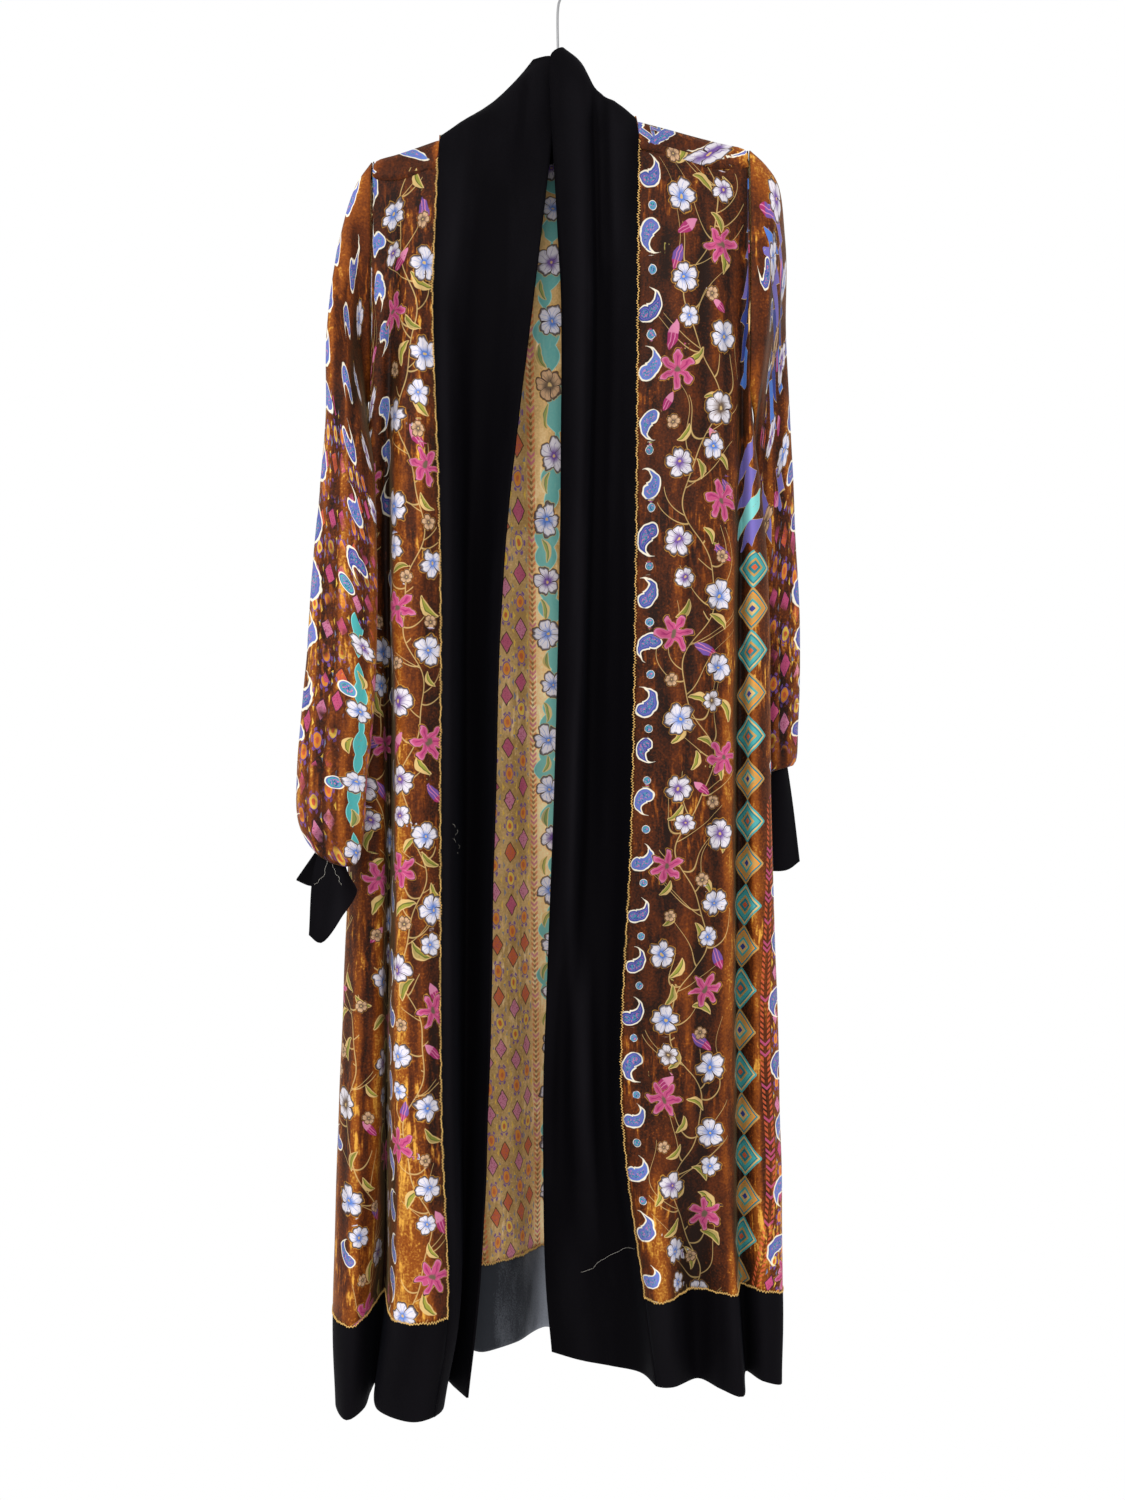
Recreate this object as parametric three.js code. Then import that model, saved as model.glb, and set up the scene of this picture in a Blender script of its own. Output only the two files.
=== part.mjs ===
// A velvet kimono on a hanger, open in front, hanging from the hanger's hook.
//
// Millimetres. +Z is up, +X is the wearer's left and -Y is the front.
// The origin is the inside top of the hook, where the rail carries it.
//
// Every piece of cloth is a wall. Fold lines run down the cloth, each a smooth curve through
// one place at each level of the body, and the wall is skinned across them.

import * as THREE from 'three';

// ---- driving sizes ----

const PRINT_WALL = 1.2;
const BAND_WALL = 2.0;
const HEM_WALL = 1.6;
const CUFF_WALL = 2.0;
const SEAM_GAP = 0.9;
const SIDE_GAP = 1.7;
const ARMHOLE_GAP = 1.8;
// How far below the neckline the back's first places lie, and how fast they go backward.
const NECK_DROPS = [1.3, 5, 10, 18, 34];
const NECK_SLANT = 0.06;

// The levels of the body, from the chest down to the hem.
const LEVELS = { chest: -332, waist: -580, hip: -826, knee: -1092, seam: -1273, hem: -1361 };
const LEVEL_NAMES = Object.keys(LEVELS);

const HOOK_WIRE = 2.4;
const HOOK_INNER_RADIUS = 20;
const COLLAR_PEAK = -97;

const RIDGE_AT_SHANK = -143;
const RIDGE_SLOPE = 0.30;
const HANGER_TILT = 0.035;
const SEAM_BELOW_RIDGE = 21;
// How the cloth leaves the arm's top behind it: how deep and how far below the ridge.
const BEHIND_ARM = [
  { y: 3.6, drop: 2 },
  { y: 6, drop: 6 },
  { y: 9, drop: 15 },
  { y: 13, drop: 32 },
];

const HANGER_HALF_LENGTH = 180;
const HANGER_THICKNESS = 3.6;
const HANGER_CLEARANCE = 0.5;

// The armholes: a narrow upright loop on each side.
const ARMHOLES = {
  right: { x: -175, top: -202, bottom: -425, halfDepth: 15 },
  left: { x: 180, top: -191, bottom: -421, halfDepth: 15 },
};
const BELOW_ARMHOLE_SLANT = 0.15;

// ---- colours, roughness and metalness ----

const FINISHES = {
  print: { color: 0x7a4416, roughness: 0.75, metalness: 0 },
  velvet: { color: 0x0d0c11, roughness: 0.9, metalness: 0 },
  hanger: { color: 0x1b1b1d, roughness: 0.5, metalness: 0 },
  hook: { color: 0xb9bcc0, roughness: 0.3, metalness: 1 },
};

// ---- small helpers ----

/** Vector from an array. */
function vec(place) {
  return new THREE.Vector3(...place);
}

/** A number between a and b. */
function mix(a, b, share) {
  return a + (b - a) * share;
}

/** Evenly spaced numbers from a to b, both included. */
function steps(a, b, count) {
  return Array.from({ length: count + 1 }, (_, i) => mix(a, b, i / count));
}

/** The place at step s of a smooth curve through the points: s = 1 is the second point. */
function along(points, s, closed = false) {
  const curve = new THREE.CatmullRomCurve3(points, closed, 'centripetal');
  const spans = closed ? points.length : points.length - 1;
  return curve.getPoint(s / spans);
}

/** The height of the cloth's outer face where it goes over the hanger's arm. */
function ridge(x) {
  return RIDGE_AT_SHANK - RIDGE_SLOPE * Math.abs(x) + HANGER_TILT * x;
}

/** A place on an armhole's loop: angle 0 is its top, 90 its front, 180 the underarm. */
function armholePlace(armhole, angle) {
  const turn = THREE.MathUtils.degToRad(angle);
  const middle = (armhole.top + armhole.bottom) / 2;
  const half = (armhole.top - armhole.bottom) / 2;
  return vec([armhole.x, -armhole.halfDepth * Math.sin(turn), middle + half * Math.cos(turn)]);
}

/** A grid of places skinned across lines, each an array of places, one for each level. */
function skin(lines, levels, columns, closed = false) {
  return levels.map((level) => {
    const ring = lines.map((line) => along(line, level));
    return columns.map((column) => along(ring, column, closed));
  });
}

/** The grid with its edges drawn in, so that neighbours keep a gap at their seam. */
function inset(grid, { top = 0, bottom = 0, left = 0, right = 0 }) {
  const toward = (from, to, distance) => to.clone().sub(from).setLength(distance).add(from);
  const last = grid.length - 1;
  const end = grid[0].length - 1;
  const rows = grid.map((row) => row.map((place) => place.clone()));
  if (top) grid[0].forEach((place, c) => rows[0][c].copy(toward(place, grid[1][c], top)));
  if (bottom) {
    grid[last].forEach((place, c) => rows[last][c].copy(toward(place, grid[last - 1][c], bottom)));
  }
  rows.forEach((row) => {
    const first = left ? toward(row[0], row[1], left) : row[0];
    const final = right ? toward(row[end], row[end - 1], right) : row[end];
    row[0] = first;
    row[end] = final;
  });
  return rows;
}

/** The volume that a list of places and triangles encloses, negative when it is inside out. */
function enclosed(places, triangles) {
  let six = 0;
  for (let i = 0; i < triangles.length; i += 3) {
    const [a, b, c] = [places[triangles[i]], places[triangles[i + 1]], places[triangles[i + 2]]];
    six += a.dot(b.clone().cross(c));
  }
  return six / 6;
}

/** A closed solid: the grid with half the thickness on each face, and a rim round its edges. */
function wall(grid, thickness, closed = false) {
  const rows = grid.length;
  const columns = grid[0].length;
  const rowAt = (r) => grid[THREE.MathUtils.clamp(r, 0, rows - 1)];
  const columnAt = (c) => {
    return closed ? (c + columns) % columns : THREE.MathUtils.clamp(c, 0, columns - 1);
  };
  const places = [];
  for (const side of [0.5, -0.5]) {
    for (let r = 0; r < rows; r += 1) {
      for (let c = 0; c < columns; c += 1) {
        const down = rowAt(r + 1)[c].clone().sub(rowAt(r - 1)[c]);
        const across = grid[r][columnAt(c + 1)].clone().sub(grid[r][columnAt(c - 1)]);
        const normal = across.cross(down).normalize();
        places.push(grid[r][c].clone().addScaledVector(normal, side * thickness));
      }
    }
  }
  const outer = (r, c) => r * columns + (c % columns);
  const inner = (r, c) => rows * columns + outer(r, c);
  const triangles = [];
  const quad = (a, b, c, d) => triangles.push(a, b, c, a, c, d);
  const spans = closed ? columns : columns - 1;
  for (let c = 0; c < spans; c += 1) {
    for (let r = 0; r < rows - 1; r += 1) {
      quad(outer(r, c), outer(r + 1, c), outer(r + 1, c + 1), outer(r, c + 1));
      quad(inner(r, c), inner(r, c + 1), inner(r + 1, c + 1), inner(r + 1, c));
    }
    const last = rows - 1;
    quad(outer(0, c), outer(0, c + 1), inner(0, c + 1), inner(0, c));
    quad(outer(last, c), inner(last, c), inner(last, c + 1), outer(last, c + 1));
  }
  if (!closed) {
    const end = columns - 1;
    for (let r = 0; r < rows - 1; r += 1) {
      quad(outer(r, 0), inner(r, 0), inner(r + 1, 0), outer(r + 1, 0));
      quad(outer(r, end), outer(r + 1, end), inner(r + 1, end), inner(r, end));
    }
  }
  if (enclosed(places, triangles) < 0) triangles.reverse();
  const geometry = new THREE.BufferGeometry().setFromPoints(places);
  geometry.setIndex(triangles);
  geometry.computeVertexNormals();
  return geometry;
}

/** A named mesh of one finish. */
function piece(name, geometry, finish) {
  const mesh = new THREE.Mesh(geometry, new THREE.MeshStandardMaterial(FINISHES[finish]));
  mesh.name = name;
  return mesh;
}

// ---- fold lines ----
//
// Each row is one fold line: where it starts, and x and y at each level below. A start given as
// an angle lies on the armhole. A place with three numbers has its own height.

// The wearer's right front, from its band seam to its side seam.
const FRONT_RIGHT_FOLDS = [
  { start: [-113, -9], chest: [-117, -24], waist: [-109, -36], hip: [-108, -46],
    knee: [-106, -58], seam: [-100, -70], hem: [-112, -72] },
  { start: [-124, -9], chest: [-130, -29], waist: [-127, -46], hip: [-126, -57],
    knee: [-123, -69], seam: [-119, -83], hem: [-129, -82] },
  { start: [-136, -9], chest: [-145, -26], waist: [-149, -44], hip: [-145, -56],
    knee: [-144, -66], seam: [-145, -76], hem: [-163, -58] },
  { start: [-152, -8], chest: [-155, -17], waist: [-160, -15], hip: [-159, -8],
    knee: [-163, -2], seam: [-165, 2], hem: [-174, 0] },
  { start: [-167, -8], chest: [-160, -17, -345], waist: [-164, -15], hip: [-161, -14],
    knee: [-165, -14], seam: [-170, -18, -1275], hem: [-177, -16, -1363] },
  { start: 27, chest: [-164, -19, -350], waist: [-168, -20], hip: [-164, -26],
    knee: [-168, -34], seam: [-177, -44, -1280], hem: [-180, -40, -1368] },
  { start: 88, chest: [-175, -18, -402], waist: [-180, -22], hip: [-176, -30],
    knee: [-184, -46], seam: [-188, -56, -1286], hem: [-192, -54, -1372] },
  { start: 132, chest: [-176, -10, -432], waist: [-188, -9], hip: [-194, -14],
    knee: [-203, -24], seam: [-207, -34, -1284], hem: [-206, -30, -1370] },
  { start: 180, chest: [-178, 0, -450], waist: [-189, 8], hip: [-195, 16],
    knee: [-203, 22], seam: [-208, 24, -1278], hem: [-207, 24, -1366] },
];

// The wearer's left front.
const FRONT_LEFT_FOLDS = [
  { start: [76, -9], chest: [75, -20], waist: [73, -24], hip: [69, -22],
    knee: [60, -20], seam: [82, -20], hem: [94, -8] },
  { start: [104, -9], chest: [99, -27], waist: [98, -32], hip: [95, -30],
    knee: [90, -28], seam: [97, -33], hem: [108, -10] },
  { start: [134, -9], chest: [127, -28], waist: [124, -34], hip: [121, -33],
    knee: [119, -32], seam: [130, 6], hem: [134, 11] },
  { start: [154, -9], chest: [149, -24], waist: [143, -30], hip: [141, -30],
    knee: [140, -26], seam: [152, -6], hem: [154, -14] },
  { start: [168, -8], chest: [166, -14], waist: [162, -20], hip: [161, -20],
    knee: [162, -20], seam: [166, -14], hem: [171, -31] },
  { start: 27, chest: [174, -8, -345], waist: [174, 4], hip: [172, 8],
    knee: [173, 10], seam: [176, 18], hem: [182, 28] },
  { start: 88, chest: [180, -14, -396], waist: [184, -8], hip: [186, -8],
    knee: [191, -6], seam: [194, -2], hem: [196, 4] },
  { start: 132, chest: [182, -6, -430], waist: [199, 6], hip: [203, 6],
    knee: [211, 8], seam: [214, 10, -1278], hem: [213, 8, -1366] },
  { start: 180, chest: [183, 2, -450], waist: [197, 20], hip: [200, 25],
    knee: [208, 32], seam: [211, 38], hem: [210, 40] },
];

// The back, from the wearer's right side seam to the left one. A start with a name is that row
// of a band, where the neckline meets it. A fold stands in or out from the back's own surface by
// its full amount at the hem and less and less above.
const BACK_FOLDS = [
  { start: 222, hemX: -201, fold: -6 },
  { start: 262, hemX: -184, fold: 20 },
  { start: 312, hemX: -166, fold: -22 },
  { start: 360, hemX: -148, fold: 6 },
  { start: 387, hemX: -132, fold: 16 },
  { start: [-152, -9], hemX: -118, fold: 10 },
  { start: [-124, -9], hemX: -108, fold: 0 },
  { start: [-114, -9], hemX: -98, fold: -12 },
  { start: 'right over', hemX: -88, fold: -24 },
  { start: 'right side', hemX: -77, fold: -32 },
  { start: 'right rear', hemX: -62, fold: -24 },
  { start: 'right back', hemX: -42, fold: -6 },
  { start: 'right centre', hemX: -13, fold: 33 },
  { start: 'left back', hemX: 12, fold: 10 },
  { start: 'left rear', hemX: 34, fold: -14 },
  { start: 'left side', hemX: 50, fold: -22 },
  { start: 'left over', hemX: 66, fold: -12 },
  { start: [77, -9], hemX: 80, fold: 4 },
  { start: [88, -9], hemX: 92, fold: 14 },
  { start: [118, -9], hemX: 108, fold: 4 },
  { start: [150, -9], hemX: 126, fold: -16 },
  { start: 387, hemX: 144, fold: -16 },
  { start: 360, hemX: 158, fold: 4 },
  { start: 312, hemX: 172, fold: 10 },
  { start: 262, hemX: 188, fold: -14 },
  { start: 222, hemX: 201, fold: 4 },
];
const BACK_DEPTH = { waist: 46, hip: 62, knee: 84, seam: 100, hem: 104 };
const BACK_CHEST_Y = 24;
const FLARE = { waist: 0.42, hip: 0.58, knee: 0.85, seam: 0.98, hem: 1 };
const FOLD_GROWTH = { waist: 0.28, hip: 0.48, knee: 0.73, seam: 0.93, hem: 1 };
const SIDE_BLEND = 6;

// The bands, from the centre back round the neck and down the front edge. Each row is a
// crossways line of the band, from its seam to its free edge.
const BAND_RIGHT_ROWS = [
  { at: 'centre', seam: [-18, 27, -195], near: [-18, 26, -170], mid: [-18, 23, -145],
    far: [-18, 17, -120], edge: [-18, 10, COLLAR_PEAK] },
  { at: 'back', seam: [-50, 25, -191], near: [-44, 24, -165], mid: [-37, 19, -140],
    far: [-31, 13, -117], edge: [-24, 7, -98] },
  { at: 'rear', seam: [-80, 19, -185], near: [-68, 17, -160], mid: [-52, 11, -137],
    far: [-37, 6, -116], edge: [-23, 1, -99] },
  { at: 'side', seam: [-104, 6, -178], near: [-86, 7, -160], mid: [-60, 2, -143],
    far: [-35, -4, -122], edge: [-13, -5, -104] },
  { at: 'over', seam: [-110, -3, -178], near: [-89, -8, -167], mid: [-60, -10, -157],
    far: [-31, -10, -143], edge: [-6, -8, -122] },
  { at: 'shoulder', seam: [-113, -9, -200], near: [-90, -15, -196], mid: [-60, -17, -190],
    far: [-30, -13, -180], edge: [-3, -8, -165] },
  { at: 'chest', seam: [-117, -24], near: [-104, -28], mid: [-74, -14],
    far: [-46, -18], edge: [-22, -27] },
  { at: 'waist', seam: [-109, -36], near: [-99, -34], mid: [-86, 8],
    far: [-68, -4], edge: [-50, -32] },
  { at: 'hip', seam: [-108, -46], near: [-100, -44], mid: [-88, 12],
    far: [-74, 2], edge: [-59, -30] },
  { at: 'knee', seam: [-106, -58], near: [-98, -56], mid: [-90, 6],
    far: [-80, -2], edge: [-65, -32] },
  { at: 'seam', seam: [-100, -70], near: [-92, -58], mid: [-92, 4],
    far: [-86, -6], edge: [-74, -34] },
  { at: 'hem', seam: [-112, -72], near: [-106, -58], mid: [-106, 6],
    far: [-97, -10], edge: [-84, -33] },
];
const BAND_LEFT_ROWS = [
  { at: 'centre', seam: [-18, 27, -195], near: [-18, 26, -170], mid: [-18, 23, -145],
    far: [-18, 17, -120], edge: [-18, 10, COLLAR_PEAK] },
  { at: 'back', seam: [14, 25, -189], near: [11, 25, -164], mid: [8, 22, -140],
    far: [2, 16, -116], edge: [-8, 11, -97] },
  { at: 'rear', seam: [44, 19, -180], near: [38, 19, -156], mid: [28, 15, -134],
    far: [16, 9, -114], edge: [3, 8, -97] },
  { at: 'side', seam: [67, 6, -161], near: [54, 7, -148], mid: [36, 2, -136],
    far: [20, -2, -117], edge: [7, 1, -98] },
  { at: 'over', seam: [73, -3, -161], near: [58, -10, -153], mid: [38, -14, -145],
    far: [20, -16, -132], edge: [2, -14, -112] },
  { at: 'shoulder', seam: [76, -9, -182], near: [58, -18, -178], mid: [34, -8, -172],
    far: [24, -24, -166], edge: [2, -16, -152] },
  { at: 'chest', seam: [75, -20], near: [57, -12], mid: [36, -2],
    far: [28, -22], edge: [3, -14] },
  { at: 'waist', seam: [73, -24], near: [56, -10], mid: [32, 2],
    far: [22, -22], edge: [2, -10] },
  { at: 'hip', seam: [69, -22], near: [54, -4], mid: [28, 10],
    far: [14, -20], edge: [-4, 0] },
  { at: 'knee', seam: [60, -20], near: [46, 6], mid: [24, -4],
    far: [4, 16], edge: [-14, 10] },
  { at: 'seam', seam: [82, -20], near: [68, 12], mid: [40, 22],
    far: [12, 24], edge: [-12, 36] },
  { at: 'hem', seam: [94, -8, -1361], near: [80, 22, -1360], mid: [52, 32, -1358],
    far: [22, 38, -1355], edge: [-6, 46, -1350] },
];
const COLLAR_ROWS = 5;

// The sleeves. Each row is a slanting ring: its outer and inner ends seen from the front, the
// depth of its middle, half its depth, and how far its back rises above its front. The last
// ones turn up inside the puffed end to the gathers.
const SLEEVE_RIGHT_RINGS = [
  { outer: [-188, -219], inner: [-181, -432], y: -2, half: 19 },
  { outer: [-196, -242], inner: [-186, -441], y: -6, half: 24 },
  { outer: [-206, -291], inner: [-184, -462], y: -18, half: 26 },
  { outer: [-211, -371], inner: [-169, -508], y: -46, half: 24 },
  { outer: [-212, -467], inner: [-166, -567], y: -54, half: 25 },
  { outer: [-221, -578], inner: [-165, -641], y: -58, half: 27 },
  { outer: [-230, -705], inner: [-168, -733], y: -62, half: 30 },
  { outer: [-235, -778], inner: [-174, -792], y: -64, half: 32 },
  { outer: [-233, -828], inner: [-177, -838], y: -64, half: 31 },
  { outer: [-221, -853], inner: [-182, -868], y: -64, half: 24, rise: 14 },
  { outer: [-213, -850], inner: [-188, -860], y: -64, half: 21, rise: 12 },
  { outer: [-211, -838], inner: [-191, -840], y: -64, half: 19, rise: 0 },
];
const SLEEVE_LEFT_RINGS = [
  { outer: [197, -203], inner: [185, -430], y: 4, half: 18 },
  { outer: [210, -219], inner: [188, -442], y: 12, half: 22 },
  { outer: [219, -267], inner: [188, -466], y: 28, half: 23 },
  { outer: [223, -341], inner: [187, -512], y: 48, half: 22 },
  { outer: [229, -445], inner: [185, -562], y: 56, half: 22 },
  { outer: [236, -572], inner: [185, -625], y: 62, half: 23 },
  { outer: [240, -681], inner: [188, -702], y: 66, half: 24 },
  { outer: [238, -735], inner: [190, -748], y: 66, half: 24 },
  { outer: [235, -772], inner: [195, -782], y: 66, half: 22 },
  { outer: [230, -776], inner: [200, -784], y: 66, half: 19 },
  { outer: [228, -762], inner: [203, -768], y: 66, half: 17 },
];
// Long folds down each sleeve: the way each faces, how deep it goes and how wide it is.
const SLEEVE_FOLDS = [
  { facing: 38, depth: 5, width: 13 },
  { facing: 72, depth: 8, width: 12 },
  { facing: 104, depth: 6, width: 11 },
  { facing: 138, depth: 8, width: 13 },
  { facing: 205, depth: 5, width: 14 },
  { facing: 250, depth: 7, width: 13 },
  { facing: 300, depth: 6, width: 14 },
];
const FOLD_START = 1.5;
const FOLD_FULL = 4;
const FOLD_END = 3;

// The cuffs, each an open bell: fold lines from the gathered sleeve end to the mouth, starting
// and ending at the slit.
const CUFF_RIGHT_FOLDS = [
  { top: [-207, -72, -832], middle: [-210, -77, -862], mouth: [-216, -95, -922] },
  { top: [-203, -78, -832], middle: [-203, -81, -868], mouth: [-205, -101, -917] },
  { top: [-197, -77, -832], middle: [-195, -79, -868], mouth: [-190, -98, -902] },
  { top: [-194, -64, -832], middle: [-193, -65, -866], mouth: [-183, -62, -886] },
  { top: [-198, -51, -832], middle: [-199, -50, -856], mouth: [-208, -36, -885] },
  { top: [-203, -50, -832], middle: [-207, -48, -854], mouth: [-232, -30, -880] },
  { top: [-207, -59, -832], middle: [-212, -57, -853], mouth: [-243, -36, -874] },
];
const CUFF_LEFT_FOLDS = [
  { top: [223, 71, -756], middle: [230, 75, -815], mouth: [234, 80, -868] },
  { top: [218, 79, -756], middle: [221, 83, -816], mouth: [222, 96, -874] },
  { top: [211, 78, -756], middle: [208, 83, -816], mouth: [202, 94, -876] },
  { top: [208, 66, -756], middle: [198, 66, -816], mouth: [193, 66, -876] },
  { top: [211, 54, -756], middle: [206, 52, -816], mouth: [203, 44, -878] },
  { top: [218, 53, -756], middle: [222, 50, -815], mouth: [222, 42, -878] },
  { top: [223, 61, -756], middle: [232, 60, -814], mouth: [238, 56, -870] },
];

// ---- lines from the tables ----
//
// Every line of the body has the same places: a guide, five from its start, one at the chest
// and one at each level below, so that a step along one line matches its neighbours'.

const CLOSE_SHARES = [0, 0.1, 0.25, 0.5, 0.8];
const START_STEP = 1;
const WAIST_STEP = 7;
const SEAM_STEP = 10;
const HEM_STEP = 11;
const PANEL_STEPS = [1, 2, 2.5, 3, 3.5, 4, 5, 6, 6.5, 7, 7.33, 7.67, 8, 8.33, 8.67, 9, 9.33, 9.67, 10];
const HEM_BAND_STEPS = steps(SEAM_STEP, HEM_STEP, 3);

/** The place of one table row at a level. */
function placeAt(row, name) {
  const [x, y, z = LEVELS[name]] = row[name];
  return vec([x, y, z]);
}

/** The places where cloth goes over the hanger's arm at x, from the shoulder seam to the back. */
function overArm(x) {
  const top = ridge(x);
  return [
    vec([x, -9, top - SEAM_BELOW_RIDGE]),
    vec([x, -5.6, top - 5]),
    vec([x, 0, top - PRINT_WALL / 2]),
    vec([x, 6, top - 5]),
    vec([x, 13, top - 30]),
  ];
}

/** The places from a start to the chest, close together at first. */
function closeStarts(start, chest) {
  return CLOSE_SHARES.map((share) => start.clone().lerp(chest, share));
}

/** The places behind the hanger's arm at x, below the armhole's top. */
function behindArm(x) {
  return BEHIND_ARM.map(({ y, drop }) => vec([x, y, ridge(x) - drop]));
}

/** A front's fold line. Its first place is a guide above the start. */
function frontLine(row, armhole) {
  const body = LEVEL_NAMES.map((name) => placeAt(row, name));
  const onArmhole = typeof row.start === 'number';
  const [seam, over] = onArmhole ? [] : overArm(row.start[0]);
  const start = onArmhole ? armholePlace(armhole, row.start) : seam;
  const guide = onArmhole ? start.clone().lerp(body[0], -0.1) : over;
  return [guide, ...closeStarts(start, body[0]), ...body];
}

/** The back's fold line, in the same number of places as a front's. */
function backLine(row, sides) {
  const [right, left] = sides;
  const upper = upperBack(row, row.hemX < 0 ? ARMHOLES.right : ARMHOLES.left);
  const topX = upper.at(-1).x;
  const lower = Object.keys(BACK_DEPTH).map((name, i) => {
    const sideways = mix(topX, row.hemX, FLARE[name]);
    const share = (sideways - right[i].x) / (left[i].x - right[i].x);
    const sideY = mix(right[i].y, left[i].y, share);
    const blend = 1 - Math.abs(2 * share - 1) ** SIDE_BLEND;
    const y = mix(sideY, BACK_DEPTH[name], blend) + row.fold * FOLD_GROWTH[name];
    return vec([sideways, y, LEVELS[name]]);
  });
  const chest = typeof row.start === 'number' && row.start < 350
    ? upper.at(-1).clone().lerp(lower[0], 0.4)
    : vec([mix(topX, lower[0].x, 0.4), BACK_CHEST_Y, LEVELS.chest]);
  const guide = upper[0].clone().lerp(upper[1], -1);
  return [guide, ...upper, chest, ...lower];
}

/** The first five places of a back line. */
function upperBack(row, armhole) {
  if (typeof row.start === 'number') {
    const start = armholePlace(armhole, row.start);
    const inward = -Math.sign(armhole.x);
    if (row.start > 360) return [start, ...overArm(armhole.x + inward * 3).slice(1)];
    if (row.start === 360) return [start, ...behindArm(armhole.x + inward)];
    const below = start.clone().add(vec([inward, 4, -60]));
    return [0, 0.06, 0.2, 0.45, 1].map((share) => start.clone().lerp(below, share));
  }
  if (typeof row.start === 'string') {
    const [side, at] = row.start.split(' ');
    const rows = side === 'right' ? BAND_RIGHT_ROWS : BAND_LEFT_ROWS;
    const seam = vec(rows.find((band) => band.at === at).seam);
    if (at === 'over') {
      const outside = seam.add(vec([Math.sign(seam.x), 0, 0]));
      const [, , top] = overArm(outside.x);
      return [outside, top, ...behindArm(outside.x).filter((_, i) => i !== 1)];
    }
    return NECK_DROPS.map((drop) => seam.clone().add(vec([0, drop * NECK_SLANT, -drop])));
  }
  return overArm(row.start[0]);
}

/** A band's lines down its length, from the seam's to the free edge's. */
function bandLines(rows) {
  return ['seam', 'near', 'mid', 'far', 'edge'].map((name) => {
    const places = rows.map((row) => {
      const [x, y, z = LEVELS[row.at]] = row[name];
      return vec([x, y, z]);
    });
    const collar = places.slice(0, COLLAR_ROWS);
    const body = places.slice(COLLAR_ROWS + 1);
    return [...collar, ...closeStarts(places[COLLAR_ROWS], body[0]), ...body];
  });
}

const rightFront = FRONT_RIGHT_FOLDS.map((row) => frontLine(row, ARMHOLES.right));
const leftFront = FRONT_LEFT_FOLDS.map((row) => frontLine(row, ARMHOLES.left));
const rightSide = rightFront.at(-1);
const leftSide = leftFront.at(-1);
const belowChest = [rightSide, leftSide].map((side) => side.slice(WAIST_STEP));
const besideFront = (rows) => bandLines(rows)[1].slice(COLLAR_ROWS - 1);
const rightNear = besideFront(BAND_RIGHT_ROWS);
const leftNear = besideFront(BAND_LEFT_ROWS);
const back = [
  rightSide,
  ...BACK_FOLDS.map((row) => backLine(row, belowChest)),
  leftSide,
];

// ---- body ----

/** The place drawn in to the armhole's plane, which slants outward below the underarm. */
function insideArmhole(place) {
  for (const { x, bottom } of Object.values(ARMHOLES)) {
    const limit = Math.abs(x) + BELOW_ARMHOLE_SLANT * Math.max(0, bottom - place.z);
    if (place.x * x > 0 && Math.abs(place.x) > limit) place.setX(Math.sign(x) * limit);
  }
  return place;
}

/** A grid across a panel's lines. Guides are its neighbours' lines, so that seams run smooth. */
function bodyGrid(lines, before, after, levels, stepsPerFold) {
  const all = [before, ...lines, after].filter((line) => line);
  const first = before ? 1 : 0;
  const folds = lines.length - 1;
  const columns = steps(first, first + folds, Math.round(folds * stepsPerFold));
  return skin(all, levels, columns).map((row) => row.map(insideArmhole));
}

/** A panel's wall between its top and the hem band's seam. */
function panel(lines, before, after, stepsPerFold) {
  const grid = bodyGrid(lines, before, after, PANEL_STEPS, stepsPerFold);
  const left = (lines === back ? SIDE_GAP : SEAM_GAP) / 2;
  const edges = { top: SEAM_GAP, bottom: SEAM_GAP / 2, left, right: SIDE_GAP / 2 };
  return wall(inset(grid, edges), PRINT_WALL);
}

/** The hem band below a panel. */
function hemBand(lines, before, after, stepsPerFold) {
  const grid = bodyGrid(lines, before, after, HEM_BAND_STEPS, stepsPerFold);
  const edges = { top: SEAM_GAP / 2, left: SIDE_GAP / 2, right: SIDE_GAP / 2 };
  return wall(inset(grid, edges), HEM_WALL);
}

/** A front band from the centre back to the hem. */
function band(rows) {
  const collar = steps(0, COLLAR_ROWS, COLLAR_ROWS * 3).slice(0, -1);
  const front = [...PANEL_STEPS, ...HEM_BAND_STEPS.slice(1)];
  const levels = [...collar, ...front.map((step) => step - START_STEP + COLLAR_ROWS)];
  const grid = skin(bandLines(rows), levels, steps(0, 4, 8));
  return wall(inset(grid, { top: SEAM_GAP / 2, left: SEAM_GAP / 2 }), BAND_WALL);
}

// ---- sleeves and cuffs ----

const SLEEVE_COLUMNS = 24;
const STEPS_PER_RING = 1.5;

/** How far a sleeve's wall is drawn in by its folds at an angle and a ring. */
function sleeveFold(angle, ring, rings) {
  const end = rings.length - 1 - FOLD_END;
  const fade = THREE.MathUtils.smoothstep(ring, FOLD_START, FOLD_FULL)
    * (1 - THREE.MathUtils.smoothstep(ring, end, rings.length));
  const wander = 4 * Math.sin(ring * 0.9);
  return SLEEVE_FOLDS.reduce((sum, fold) => {
    const away = (angle - fold.facing - wander) / fold.width;
    return sum + fold.depth * Math.exp(-away * away);
  }, 0) * fade;
}

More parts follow.
